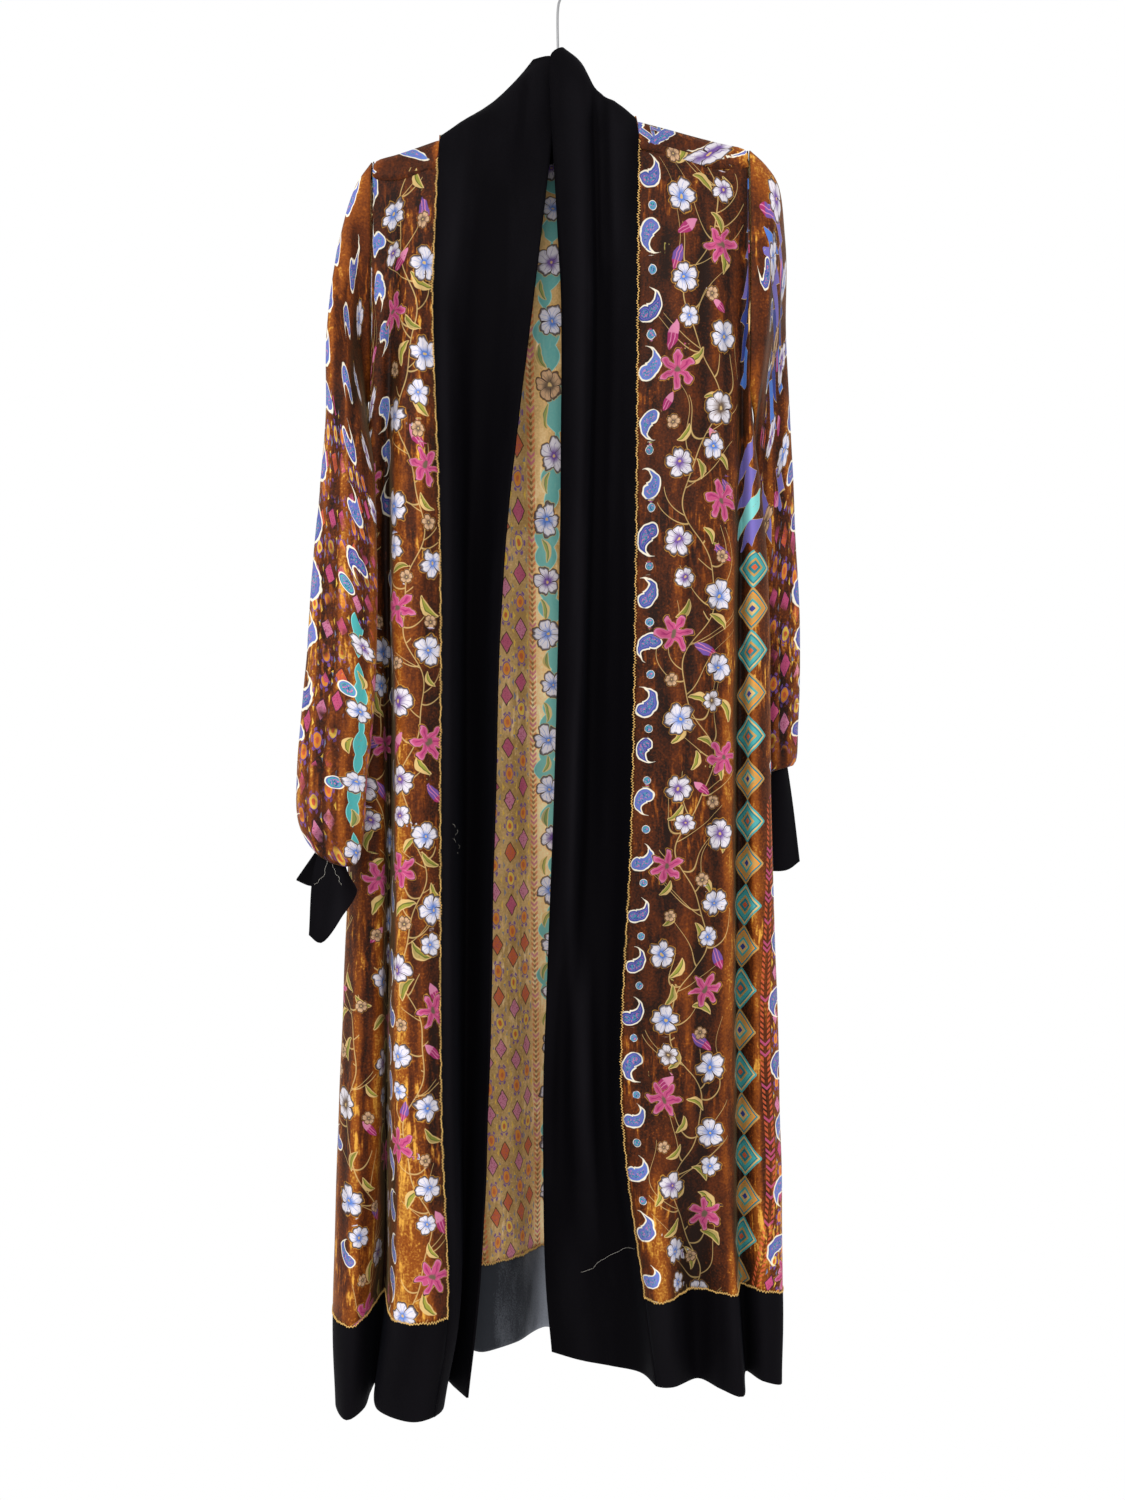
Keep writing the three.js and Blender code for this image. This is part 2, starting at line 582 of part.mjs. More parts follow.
/** The places round one ring of a sleeve. */
function sleeveRing(row, ring, rings) {
  const outer = vec([row.outer[0], row.y, row.outer[1]]);
  const inner = vec([row.inner[0], row.y, row.inner[1]]);
  const middle = outer.clone().lerp(inner, 0.5);
  const reach = outer.clone().sub(middle);
  return steps(0, 360, SLEEVE_COLUMNS).slice(0, -1).map((angle) => {
    const turn = THREE.MathUtils.degToRad(angle);
    const drawn = sleeveFold(angle, ring, rings);
    const deep = Math.max(row.half - drawn, row.half * 0.35);
    const place = middle.clone().addScaledVector(reach, Math.cos(turn));
    place.y -= deep * Math.sin(turn);
    place.z += (row.rise ?? 0) * (1 - Math.sin(turn)) / 2;
    return place;
  });
}

/** A sleeve's wall, from the armhole to its gathered end. */
function sleeve(rings, armhole) {
  const side = Math.sign(armhole.x);
  const start = steps(0, 360, SLEEVE_COLUMNS).slice(0, -1)
    .map((angle) => armholePlace(armhole, angle).add(vec([side * ARMHOLE_GAP, 0, 0])));
  const all = [start, ...rings.map((row, i) => sleeveRing(row, i + 1, rings))];
  const lines = start.map((_, c) => all.map((ring) => ring[c]));
  const levels = steps(0, all.length - 1, Math.round((all.length - 1) * STEPS_PER_RING));
  const grid = levels.map((level) => lines.map((line) => along(line, level)));
  return wall(grid, PRINT_WALL, true);
}

/** A cuff's wall. */
function cuff(rows) {
  const lines = rows.map((row) => [vec(row.top), vec(row.middle), vec(row.mouth)]);
  const grid = skin(lines, steps(0, 2, 6), steps(0, rows.length - 1, (rows.length - 1) * 3));
  return wall(grid, CUFF_WALL);
}

// ---- hanger ----

/** The hanger's body: one flat outline with two sloping arms and a raised middle. */
function hangerBody() {
  const tipTop = (side) => ridge(side * HANGER_HALF_LENGTH) - PRINT_WALL - HANGER_CLEARANCE;
  const outline = new THREE.Shape();
  const middleTop = ridge(0) - PRINT_WALL - HANGER_CLEARANCE;
  const tip = 5;
  const drop = 2;
  outline.moveTo(0, middleTop + 6);
  outline.lineTo(8, middleTop + 4);
  outline.lineTo(14, ridge(14) - PRINT_WALL - HANGER_CLEARANCE);
  for (const side of [1, -1]) {
    const x = side * (HANGER_HALF_LENGTH - tip);
    const y = tipTop(side) - tip - drop;
    const from = side > 0 ? Math.PI / 2 : -Math.PI / 2;
    outline.absarc(x, y, tip, from, from - Math.PI, true);
    if (side > 0) outline.quadraticCurveTo(60, ridge(60) - 20, 0, middleTop - 22);
    if (side > 0) outline.quadraticCurveTo(-60, ridge(-60) - 20, -x, tipTop(-1) - 2 * tip - drop);
  }
  outline.lineTo(-14, ridge(-14) - PRINT_WALL - HANGER_CLEARANCE);
  outline.lineTo(-8, middleTop + 4);
  outline.closePath();
  const bevel = 0.9;
  const geometry = new THREE.ExtrudeGeometry(outline, {
    depth: HANGER_THICKNESS - 2 * bevel,
    bevelThickness: bevel,
    bevelSize: bevel,
    bevelOffset: -bevel,
    bevelSegments: 1,
    curveSegments: 8,
  });
  geometry.translate(0, 0, bevel - HANGER_THICKNESS / 2);
  geometry.rotateX(Math.PI / 2);
  return geometry;
}

/** The hook: a wire up from the hanger's middle and over the rail. */
function hangerHook() {
  const radius = HOOK_INNER_RADIUS + HOOK_WIRE / 2;
  const loop = steps(-35, 205, 16).map((angle) => {
    const turn = THREE.MathUtils.degToRad(angle);
    return vec([radius * Math.cos(turn), 0, radius * Math.sin(turn) - HOOK_INNER_RADIUS]);
  });
  const shankBottom = ridge(0) + 5;
  const shank = [
    vec([0, 0, shankBottom]),
    vec([0, 0, -100]),
    vec([0, 0, -56]),
    vec([2, 0, -47]),
    vec([9, 0, -39]),
  ];
  const wire = new THREE.Shape().absarc(0, 0, HOOK_WIRE / 2, 0, 2 * Math.PI);
  return new THREE.ExtrudeGeometry(wire, {
    steps: 44,
    curveSegments: 4,
    extrudePath: new THREE.CatmullRomCurve3([...shank, ...loop], false, 'centripetal'),
  });
}

// ---- the whole ----

const kimono = new THREE.Group();
kimono.add(
  piece('back_panel', panel(back, rightFront.at(-2), leftFront.at(-2), 1.5), 'print'),
  piece('front_panel_right', panel(rightFront, rightNear, back[1], 2), 'print'),
  piece('front_panel_left', panel(leftFront, leftNear, back.at(-2), 2), 'print'),
  piece('sleeve_right', sleeve(SLEEVE_RIGHT_RINGS, ARMHOLES.right), 'print'),
  piece('sleeve_left', sleeve(SLEEVE_LEFT_RINGS, ARMHOLES.left), 'print'),
  piece('cuff_right', cuff(CUFF_RIGHT_FOLDS), 'velvet'),
  piece('cuff_left', cuff(CUFF_LEFT_FOLDS), 'velvet'),
  piece('front_band_right', band(BAND_RIGHT_ROWS), 'velvet'),
  piece('front_band_left', band(BAND_LEFT_ROWS), 'velvet'),
  piece('hem_band_back', hemBand(back, rightFront.at(-2), leftFront.at(-2), 1.5), 'velvet'),
  piece('hem_band_right', hemBand(rightFront, rightNear, back[1], 2), 'velvet'),
  piece('hem_band_left', hemBand(leftFront, leftNear, back.at(-2), 2), 'velvet'),
  piece('hanger_body', hangerBody(), 'hanger'),
  piece('hanger_hook', hangerHook(), 'hook'),
);

export default kimono;
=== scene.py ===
"""A velvet kimono on a hanger: its cloth, print, stitching and hanger, staged for a picture."""

import math
from functools import partialmethod

import bpy
import numpy as np
from bpy.props import FloatProperty, FloatVectorProperty, PointerProperty
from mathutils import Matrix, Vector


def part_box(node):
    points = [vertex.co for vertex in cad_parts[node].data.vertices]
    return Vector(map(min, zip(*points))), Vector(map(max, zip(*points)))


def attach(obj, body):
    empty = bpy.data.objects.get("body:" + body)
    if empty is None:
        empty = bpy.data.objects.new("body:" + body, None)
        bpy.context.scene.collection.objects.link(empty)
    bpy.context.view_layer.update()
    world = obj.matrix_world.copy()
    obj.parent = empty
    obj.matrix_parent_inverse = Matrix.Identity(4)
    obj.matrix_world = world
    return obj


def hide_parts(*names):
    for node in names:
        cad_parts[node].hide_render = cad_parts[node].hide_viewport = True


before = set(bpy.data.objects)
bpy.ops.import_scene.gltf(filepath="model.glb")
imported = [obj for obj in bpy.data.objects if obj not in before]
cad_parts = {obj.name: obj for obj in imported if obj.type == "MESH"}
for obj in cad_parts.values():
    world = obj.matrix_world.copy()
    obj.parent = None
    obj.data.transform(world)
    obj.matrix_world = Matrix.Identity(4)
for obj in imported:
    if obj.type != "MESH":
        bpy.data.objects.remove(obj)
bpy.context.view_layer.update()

bl_info = {
    "name": "Velvet Kimono",
    "version": (1, 0, 0),
    "blender": (4, 5, 0),
    "location": "View3D > Sidebar > Kimono",
    "description": "Builds a velvet kimono on a hanger over its frame",
    "category": "Object",
}

# A millimetre in metres, and a metre in millimetres.
MM = 0.001
PER_METRE = 1000
FRONT, BEHIND = (0, -1, 0), (0, 1, 0)

# The camera and the key light, in metres and degrees.
CAMERA_PLACE, CAMERA_LENS, CAMERA_SENSOR = (0.0043, -1.4, -0.760), 35.37, 36.0
KEY_PLACE, KEY_TILT, KEY_TURN, KEY_SIZE = (-0.5, -1.9, 0.25), 62, -15, (1.6, 1.2)

# ---- the garment's sizes, in millimetres ----

LEVELS = {"chest": -332, "waist": -580, "hip": -826, "knee": -1092, "seam": -1273, "hem": -1361}
LOWER_LEVELS = list(LEVELS.values())[1:]
RIDGE_AT_SHANK = -143
RIDGE_SLOPE = 0.30
HANGER_TILT = 0.035
# The cloth over the hanger's arm and behind it: y, and how far below the ridge.
OVER_ARM = ((-9, 21), (-5.6, 5), (0, 0.6), (6, 5), (13, 30))
BEHIND_ARM = ((3.6, 2), (6, 6), (9, 15), (13, 32))
NECK_DROPS = (1.3, 5, 10, 18, 34)
NECK_SLANT = 0.06
CLOSE_SHARES = (0, 0.1, 0.25, 0.5, 0.8)
START_STEP, WAIST_STEP, SEAM_STEP, HEM_STEP = 1, 7, 10, 11
COLLAR_ROWS = 5
# The back's top edge runs this part of a step on under the collar.
TOP_TUCK = 0.5
# The back's places are this much further apart than those of the other pieces.
BACK_SPACING = 1.3
CUFF_SPACING = 2.5
# The back's print is measured from the fold line that ends here at the hem.
BACK_MIDDLE_X = -13
# The back from the waist down: its depth, how much of its flare it has, and its folds' growth.
BACK_DEPTH = np.array([46, 62, 84, 100, 104])
FLARE = np.array([0.42, 0.58, 0.85, 0.98, 1])
FOLD_GROWTH = np.array([0.28, 0.48, 0.73, 0.93, 1])
BACK_CHEST_Y = 24
BACK_CHEST_SHARE = 0.4
SIDE_BLEND = 6
# The back's first places below the armhole's rear: shares of a run inward, back and down.
UNDERARM_SHARES = np.array([0, 0.06, 0.2, 0.45, 1])[:, None]
UNDERARM_BACK, UNDERARM_DROP = 4, -60
SHOULDER_INSET = 3
BELOW_ARMHOLE_SLANT = 0.15
ARMHOLE_GAP = 1.8
SLEEVE_COLUMNS = 24
SLEEVE_PERIMETER = 150
SLEEVE_PRINT_WIDTH = 1.6
# A sleeve's folds fade in over its first rings and out over its last, and leave this much depth.
FOLD_START, FOLD_FULL, FOLD_END = 1.5, 4, 3
LEAST_SLEEVE_DEPTH = 0.35

# Each armhole is a narrow upright loop: x, top, bottom and half its depth. Angle 0 is its top.
ARMHOLES = {"right": (-175, -202, -425, 15), "left": (180, -191, -421, 15)}
ARMHOLE_TOP = 360

# ---- the stitching's sizes, in millimetres ----

STITCH_PITCH, STITCH_REACH, STITCH_LIFT = 2.6, 1.3, 1.0
BACK_STITCH_REACH, BACK_STITCH_LIFT = 1.6, 2.2
BAND_SEAM_RADIUS, HEM_SEAM_RADIUS, BACK_SEAM_RADIUS = 0.5, 0.55, 0.6
LOOSE_THREAD_RADIUS, LOOSE_THREAD_LIFT, LOOSE_THREAD_PLACES = 0.1, 0.8, 30
# Fold lines: the start (an angle on the armhole, or a place on the shoulder), then x and y at
# the chest, waist, hip, knee, seam and hem. A third number is a height of its own.
FRONT_RIGHT_FOLDS = (
    ((-113, -9), (-117, -24), (-109, -36), (-108, -46), (-106, -58), (-100, -70), (-112, -72)),
    ((-124, -9), (-130, -29), (-127, -46), (-126, -57), (-123, -69), (-119, -83), (-129, -82)),
    ((-136, -9), (-145, -26), (-149, -44), (-145, -56), (-144, -66), (-145, -76), (-163, -58)),
    ((-152, -8), (-155, -17), (-160, -15), (-159, -8), (-163, -2), (-165, 2), (-174, 0)),
    ((-167, -8), (-160, -17, -345), (-164, -15), (-161, -14),
     (-165, -14), (-170, -18, -1275), (-177, -16, -1363)),
    (27, (-164, -19, -350), (-168, -20), (-164, -26), (-168, -34), (-177, -44, -1280), (-180, -40, -1368)),
    (88, (-175, -18, -402), (-180, -22), (-176, -30), (-184, -46), (-188, -56, -1286), (-192, -54, -1372)),
    (132, (-176, -10, -432), (-188, -9), (-194, -14), (-203, -24), (-207, -34, -1284), (-206, -30, -1370)),
    (180, (-178, 0, -450), (-189, 8), (-195, 16), (-203, 22), (-208, 24, -1278), (-207, 24, -1366)),
)
# The wearer's left front, in the same columns.
FRONT_LEFT_FOLDS = (
    ((76, -9), (75, -20), (73, -24), (69, -22), (60, -20), (82, -20), (94, -8)),
    ((104, -9), (99, -27), (98, -32), (95, -30), (90, -28), (97, -33), (108, -10)),
    ((134, -9), (127, -28), (124, -34), (121, -33), (119, -32), (130, 6), (134, 11)),
    ((154, -9), (149, -24), (143, -30), (141, -30), (140, -26), (152, -6), (154, -14)),
    ((168, -8), (166, -14), (162, -20), (161, -20), (162, -20), (166, -14), (171, -31)),
    (27, (174, -8, -345), (174, 4), (172, 8), (173, 10), (176, 18), (182, 28)),
    (88, (180, -14, -396), (184, -8), (186, -8), (191, -6), (194, -2), (196, 4)),
    (132, (182, -6, -430), (199, 6), (203, 6), (211, 8), (214, 10, -1278), (213, 8, -1366)),
    (180, (183, 2, -450), (197, 20), (200, 25), (208, 32), (211, 38), (210, 40)),
)
# The back: the start, x at the hem, and how far the fold stands out there.
BACK_FOLDS = (
    (222, -201, -6),
    (262, -184, 20),
    (312, -166, -22),
    (360, -148, 6),
    (387, -132, 16),
    ((-152, -9), -118, 10),
    ((-124, -9), -108, 0),
    ((-114, -9), -98, -12),
    ("right over", -88, -24),
    ("right side", -77, -32),
    ("right rear", -62, -24),
    ("right back", -42, -6),
    ("right centre", -13, 33),
    ("left back", 12, 10),
    ("left rear", 34, -14),
    ("left side", 50, -22),
    ("left over", 66, -12),
    ((77, -9), 80, 4),
    ((88, -9), 92, 14),
    ((118, -9), 108, 4),
    ((150, -9), 126, -16),
    (387, 144, -16),
    (360, 158, 4),
    (312, 172, 10),
    (262, 188, -14),
    (222, 201, 4),
)
# The bands: the row's name, then the seam, near, mid, far and edge places across it.
BAND_RIGHT_ROWS = (
    ("centre", (-18, 27, -195), (-18, 26, -170), (-18, 23, -145), (-18, 17, -121), (-18, 10, -100)),
    ("back", (-50, 25, -191), (-44, 24, -165), (-37, 19, -140), (-30, 13, -118), (-20, 7, -102)),
    ("rear", (-80, 19, -185), (-68, 17, -160), (-52, 11, -137), (-37, 6, -119), (-23, 1, -104)),
    ("side", (-104, 6, -178), (-86, 7, -160), (-60, 2, -143), (-33, -5, -123), (-6, -5, -104)),
    ("over", (-110, -3, -178), (-89, -8, -167), (-60, -10, -157), (-28, -11, -142), (-2, -8, -116)),
    ("shoulder", (-113, -9, -200), (-90, -15, -196), (-60, -17, -190), (-30, -13, -180), (-3, -8, -165)),
    ("chest", (-117, -24), (-104, -28), (-74, -14), (-46, -18), (-22, -27)),
    ("waist", (-109, -36), (-99, -34), (-86, 8), (-68, -4), (-50, -32)),
    ("hip", (-108, -46), (-100, -44), (-88, 12), (-74, 2), (-59, -30)),
    ("knee", (-106, -58), (-98, -56), (-90, 6), (-80, -2), (-65, -32)),
    ("seam", (-100, -70), (-92, -58), (-92, 4), (-86, -6), (-74, -34)),
    ("hem", (-112, -72), (-106, -58), (-106, 6), (-97, -10), (-84, -33)),
)
# The wearer's left band, in the same columns.
BAND_LEFT_ROWS = (
    ("centre", (-18, 27, -195), (-18, 26, -170), (-18, 23, -145), (-18, 17, -121), (-18, 10, -100)),
    ("back", (14, 25, -189), (11, 25, -164), (8, 22, -140), (2, 16, -114), (-7, 11, -98)),
    ("rear", (44, 19, -180), (38, 19, -156), (28, 15, -134), (18, 9, -107), (5, 8, -96)),
    ("side", (67, 6, -161), (54, 7, -148), (36, 2, -136), (21, -4, -109), (4, -6, -96)),
    ("over", (73, -3, -161), (58, -10, -153), (38, -14, -145), (22, -16, -127), (-7, -15, -107)),
    ("shoulder", (76, -9, -182), (58, -18, -178), (34, -8, -172), (24, -24, -166), (-7, -17, -150)),
    ("chest", (75, -20), (57, -12), (36, -2), (28, -22), (3, -14)),
    ("waist", (73, -24), (56, -10), (32, 2), (22, -22), (2, -10)),
    ("hip", (69, -22), (54, -4), (28, 10), (14, -20), (-4, 0)),
    ("knee", (60, -20), (46, 6), (24, -4), (4, 16), (-14, 10)),
    ("seam", (82, -20), (68, 12), (40, 22), (12, 24), (-12, 36)),
    ("hem", (94, -8, -1361), (80, 22, -1360), (52, 32, -1358), (22, 38, -1355), (-6, 46, -1350)),
)
# Sleeve rings: the outer and inner ends in x and z, y, half the depth, and the back's rise.
SLEEVE_RIGHT_RINGS = (
    ((-188, -219), (-181, -432), -2, 19, 0),
    ((-196, -242), (-181, -441), -6, 24, 0),
    ((-206, -291), (-177, -462), -18, 26, 0),
    ((-211, -371), (-169, -508), -46, 24, 0),
    ((-212, -467), (-166, -567), -54, 25, 0),
    ((-221, -578), (-165, -641), -58, 27, 0),
    ((-230, -705), (-168, -733), -62, 30, 0),
    ((-235, -778), (-174, -792), -64, 32, 0),
    ((-233, -828), (-177, -838), -64, 31, 0),
    ((-221, -853), (-182, -868), -64, 24, 14),
    ((-213, -850), (-188, -860), -64, 21, 12),
    ((-211, -838), (-191, -840), -64, 19, 0),
)
# The wearer's left sleeve, in the same columns.
SLEEVE_LEFT_RINGS = (
    ((197, -203), (185, -430), 4, 18, 0),
    ((210, -219), (188, -442), 12, 22, 0),
    ((219, -267), (188, -466), 28, 23, 0),
    ((223, -341), (187, -512), 48, 22, 0),
    ((229, -445), (185, -562), 56, 22, 0),
    ((236, -572), (185, -625), 62, 23, 0),
    ((240, -681), (188, -702), 66, 24, 0),
    ((238, -735), (190, -748), 66, 24, 0),
    ((235, -772), (195, -782), 66, 22, 0),
    ((230, -776), (200, -784), 66, 19, 0),
    ((228, -762), (203, -768), 66, 17, 0),
)
# Long folds down a sleeve: the way each faces, its depth and its width in degrees.
SLEEVE_FOLDS = (
    (38, 5, 13),
    (72, 8, 12),
    (104, 6, 11),
    (138, 8, 13),
    (205, 5, 14),
    (250, 7, 13),
    (300, 6, 14),
)
# Cuff lines from the gathers to the mouth.
CUFF_RIGHT_FOLDS = (
    ((-207, -72, -832), (-218, -82, -866), (-220, -95, -924)),
    ((-203, -78, -832), (-205, -83, -870), (-209, -101, -930)),
    ((-197, -77, -832), (-194, -80, -868), (-191, -98, -908)),
    ((-194, -64, -832), (-193, -65, -866), (-183, -62, -886)),
    ((-198, -51, -832), (-199, -50, -856), (-208, -36, -885)),
    ((-203, -50, -832), (-207, -48, -854), (-230, -30, -886)),
    ((-207, -59, -832), (-216, -57, -846), (-242, -36, -880)),
)
# The wearer's left cuff, in the same columns.
CUFF_LEFT_FOLDS = (
    ((223, 71, -756), (230, 75, -815), (234, 80, -868)),
    ((218, 79, -756), (221, 83, -816), (222, 96, -874)),
    ((211, 78, -756), (208, 83, -816), (202, 94, -876)),
    ((208, 66, -756), (198, 66, -816), (193, 66, -876)),
    ((211, 54, -756), (206, 52, -816), (203, 44, -878)),
    ((218, 53, -756), (222, 50, -815), (222, 42, -878)),
    ((223, 61, -756), (232, 60, -814), (238, 56, -870)),
)
FRONT_FOLDS = {"right": FRONT_RIGHT_FOLDS, "left": FRONT_LEFT_FOLDS}
BAND_ROWS = {"right": BAND_RIGHT_ROWS, "left": BAND_LEFT_ROWS}
SLEEVE_RINGS = {"right": SLEEVE_RIGHT_RINGS, "left": SLEEVE_LEFT_RINGS}
CUFF_FOLDS = {"right": CUFF_RIGHT_FOLDS, "left": CUFF_LEFT_FOLDS}


# ---- curves and sheets ----


def along(knots, steps, closed=False):
    """Places at these steps of the smooth curves through knots, an array (knots, lines, 3)."""
    knots = np.asarray(knots, float)
    if closed:
        padded = np.concatenate([knots[-1:], knots, knots[:2]])
        last = len(knots)
    else:
        before, after = 2 * knots[0] - knots[1], 2 * knots[-1] - knots[-2]
        padded = np.concatenate([before[None], knots, after[None]])
        last = len(knots) - 1
    steps = np.asarray(steps, float)
    first = np.clip(np.floor(steps).astype(int), 0, last - 1)
    t = (steps - first)[:, None, None]
    a, b, c, d = (padded[first + i] for i in range(4))

    def span(p, q):
        return np.maximum(((p - q) ** 2).sum(-1, keepdims=True) ** 0.25, 1e-4)

    ab, bc, cd = span(a, b), span(b, c), span(c, d)
    leave = ((b - a) / ab - (c - a) / (ab + bc) + (c - b) / bc) * bc
    reach = ((c - b) / bc - (d - b) / (bc + cd) + (d - c) / cd) * bc
    square = -3 * b + 3 * c - 2 * leave - reach
    cube = 2 * b - 2 * c + leave + reach
    return b + leave * t + square * t**2 + cube * t**3


def lengths(places):
    """How far along a line each of its places is."""
    gaps = np.linalg.norm(np.diff(places, axis=0), axis=-1)
    if gaps.ndim > 1:
        gaps = gaps.mean(axis=1)
    return np.concatenate([[0], np.cumsum(gaps)])


def even_steps(knots, low, high, spacing):
    """Steps from low to high whose places on the curves lie evenly, about spacing apart."""
    dense = np.linspace(low, high, 400)
    length = lengths(along(knots, dense))
    count = max(2, round(length[-1] / spacing))
    return np.interp(np.linspace(0, length[-1], count + 1), length, dense)


def turned(grid):
    """The grid with its rows and columns changed over."""
    return np.swapaxes(grid, 0, 1)


def skinned(lines, steps, first, last, spacing):
    """A sheet's places, an array (rows, columns, 3), at steps down its lines."""
    across = turned(along(lines, steps))
    return turned(along(across, even_steps(across, first, last, spacing)))


def whole_sheet(lines, spacing):
    """The sheet over all of its lines, from end to end."""
    return skinned(lines, even_steps(lines, 0, len(lines) - 1, spacing), 0, lines.shape[1] - 1, spacing)


def armhole_place(armhole, angle):
    """A place on an armhole's loop: angle 0 is its top, 90 its front and 180 the underarm."""
    x, top, bottom, half_depth = armhole
    turn = math.radians(angle)
    middle, half = (top + bottom) / 2, (top - bottom) / 2
    return np.array([x, -half_depth * math.sin(turn), middle + half * math.cos(turn)])


def arm_places(x, drops):
    """Places below the ridge that the cloth makes over the hanger's arm."""
    ridge = RIDGE_AT_SHANK - RIDGE_SLOPE * abs(x) + HANGER_TILT * x
    return np.array([(x, y, ridge - drop) for y, drop in drops])


def close_starts(start, chest):
    """Places from a start towards the chest, close together at first."""
    return np.array([start + (chest - start) * share for share in CLOSE_SHARES])


def at_level(place, level):
    """A table's place, with its level's height where it has none of its own."""
    return place if len(place) == 3 else (*place, LEVELS[level])


def front_line(row, armhole):
    """A front's fold line, with a guide above its start."""
    start = row[0]
    body = np.array([at_level(place, level) for place, level in zip(row[1:], LEVELS)], float)
    if isinstance(start, int):
        place = armhole_place(armhole, start)
        guide = place + (body[0] - place) * -0.1
    else:
        place, guide = arm_places(start[0], OVER_ARM)[:2]
    return np.vstack([guide, close_starts(place, body[0]), body])


def band_lines(rows):
    """A band's five lines down its length, as an array (places, lines, 3)."""
    lines = []
    for line in range(1, 6):
        places = np.array([at_level(row[line], row[0]) for row in rows], float)
        collar, body = places[:COLLAR_ROWS], places[COLLAR_ROWS + 1 :]
        lines.append(np.vstack([collar, close_starts(places[COLLAR_ROWS], body[0]), body]))
    return np.stack(lines, axis=1)


def upper_back(start, armhole):
    """The first five places of a back line."""
    if isinstance(start, int):
        place, inward = armhole_place(armhole, start), -math.copysign(1, armhole[0])
        if start > ARMHOLE_TOP:
            return np.vstack([place, arm_places(armhole[0] + inward * SHOULDER_INSET, OVER_ARM)[1:]])
        if start == ARMHOLE_TOP:
            return np.vstack([place, arm_places(armhole[0] + inward, BEHIND_ARM)])
        return place + UNDERARM_SHARES * np.array([inward, UNDERARM_BACK, UNDERARM_DROP])
    if isinstance(start, str):
        side, at = start.split(" ")
        seam = np.array(next(row[1] for row in BAND_ROWS[side] if row[0] == at), float)
        if at == "over":
            seam[0] += math.copysign(1, seam[0])
            behind = arm_places(seam[0], BEHIND_ARM)[[0, 2, 3]]
            return np.vstack([seam, arm_places(seam[0], OVER_ARM)[2], behind])
        return np.array([seam + (0, drop * NECK_SLANT, -drop) for drop in NECK_DROPS])
    return arm_places(start[0], OVER_ARM)


def back_line(row, right, left):
    """A back fold line; right and left are the side seams' places from the waist down."""
    start, hem_x, fold = row
    upper = upper_back(start, ARMHOLES["right" if hem_x < 0 else "left"])
    x = upper[-1, 0] + (hem_x - upper[-1, 0]) * FLARE
    share = (x - right[:, 0]) / (left[:, 0] - right[:, 0])
    side_y = right[:, 1] + (left[:, 1] - right[:, 1]) * share
    y = side_y + (BACK_DEPTH - side_y) * (1 - np.abs(2 * share - 1) ** SIDE_BLEND)
    lower = np.stack([x, y + fold * FOLD_GROWTH, LOWER_LEVELS], axis=1)
    chest = upper[-1] + (lower[0] - upper[-1]) * BACK_CHEST_SHARE
    if not isinstance(start, int) or start >= ARMHOLE_TOP:
        chest[1:] = BACK_CHEST_Y, LEVELS["chest"]
    return np.vstack([2 * upper[0] - upper[1], upper, chest, lower])


def inside_armhole(places):
    """Places drawn in to the armhole's plane, which slants outward below the underarm."""
    for x, _top, bottom, _depth in ARMHOLES.values():
        side = math.copysign(1, x)
        limit = abs(x) + BELOW_ARMHOLE_SLANT * np.maximum(0, bottom - places[..., 2])
        beyond = places[..., 0] * side > limit
        places[..., 0] = np.where(beyond, side * limit, places[..., 0])
    return places


FRONTS = {
    side: np.stack([front_line(row, ARMHOLES[side]) for row in rows], axis=1)
    for side, rows in FRONT_FOLDS.items()
}
BANDS = {side: band_lines(rows) for side, rows in BAND_ROWS.items()}
SIDE_SEAMS = {side: lines[:, -1] for side, lines in FRONTS.items()}
LOWER_SEAMS = [SIDE_SEAMS[side][WAIST_STEP:] for side in ("right", "left")]
BACK = np.stack(
    [SIDE_SEAMS["right"], *[back_line(row, *LOWER_SEAMS) for row in BACK_FOLDS], SIDE_SEAMS["left"]],
    axis=1,
)
BESIDE_FRONT = {"right": BACK[:, 1], "left": BACK[:, -2]}


def body_sheet(lines, before, after, low, high, spacing):
    """A panel's places between two steps of its lines, smooth with the lines beside it."""
    full = np.concatenate([before[:, None], lines, after[:, None]], axis=1)
    return inside_armhole(skinned(full, even_steps(lines, low, high, spacing), 1, lines.shape[1], spacing))


def front_sheet(side, low, high, spacing):
    """A front's places between two steps."""
    band = BANDS[side][COLLAR_ROWS - 1 :, 1]
    return body_sheet(FRONTS[side], band, BESIDE_FRONT[side], low, high, spacing)


def back_sheet(low, high, spacing):
    """The back's places between two steps."""
    return body_sheet(BACK, FRONTS["right"][:, -2], FRONTS["left"][:, -2], low, high, spacing)


def smoothstep(value, low, high):
    """Nought below low and one above high, with a soft rise between them."""
    share = np.clip((value - low) / (high - low), 0, 1)
    return share * share * (3 - 2 * share)


def sleeve_ring(row, ring, rings, angles):
    """The places round one ring of a sleeve."""
    (outer_x, outer_z), (inner_x, inner_z), y, half, rise = row
    outer, inner = np.array([outer_x, y, outer_z]), np.array([inner_x, y, inner_z])
    middle, turn = (outer + inner) / 2, np.radians(angles)
    end = rings - 1 - FOLD_END
    fade = smoothstep(ring, FOLD_START, FOLD_FULL) * (1 - smoothstep(ring, end, rings))
    wander = 4 * math.sin(ring * 0.9)
    drawn = sum(
        depth * np.exp(-(((angles - facing - wander) / width) ** 2))
        for facing, depth, width in SLEEVE_FOLDS
    )
    deep = np.maximum(half - drawn * fade, half * LEAST_SLEEVE_DEPTH)
    places = middle + np.cos(turn)[:, None] * (outer - middle)
    places[:, 1] -= deep * np.sin(turn)
    places[:, 2] += rise * (1 - np.sin(turn)) / 2
    return places


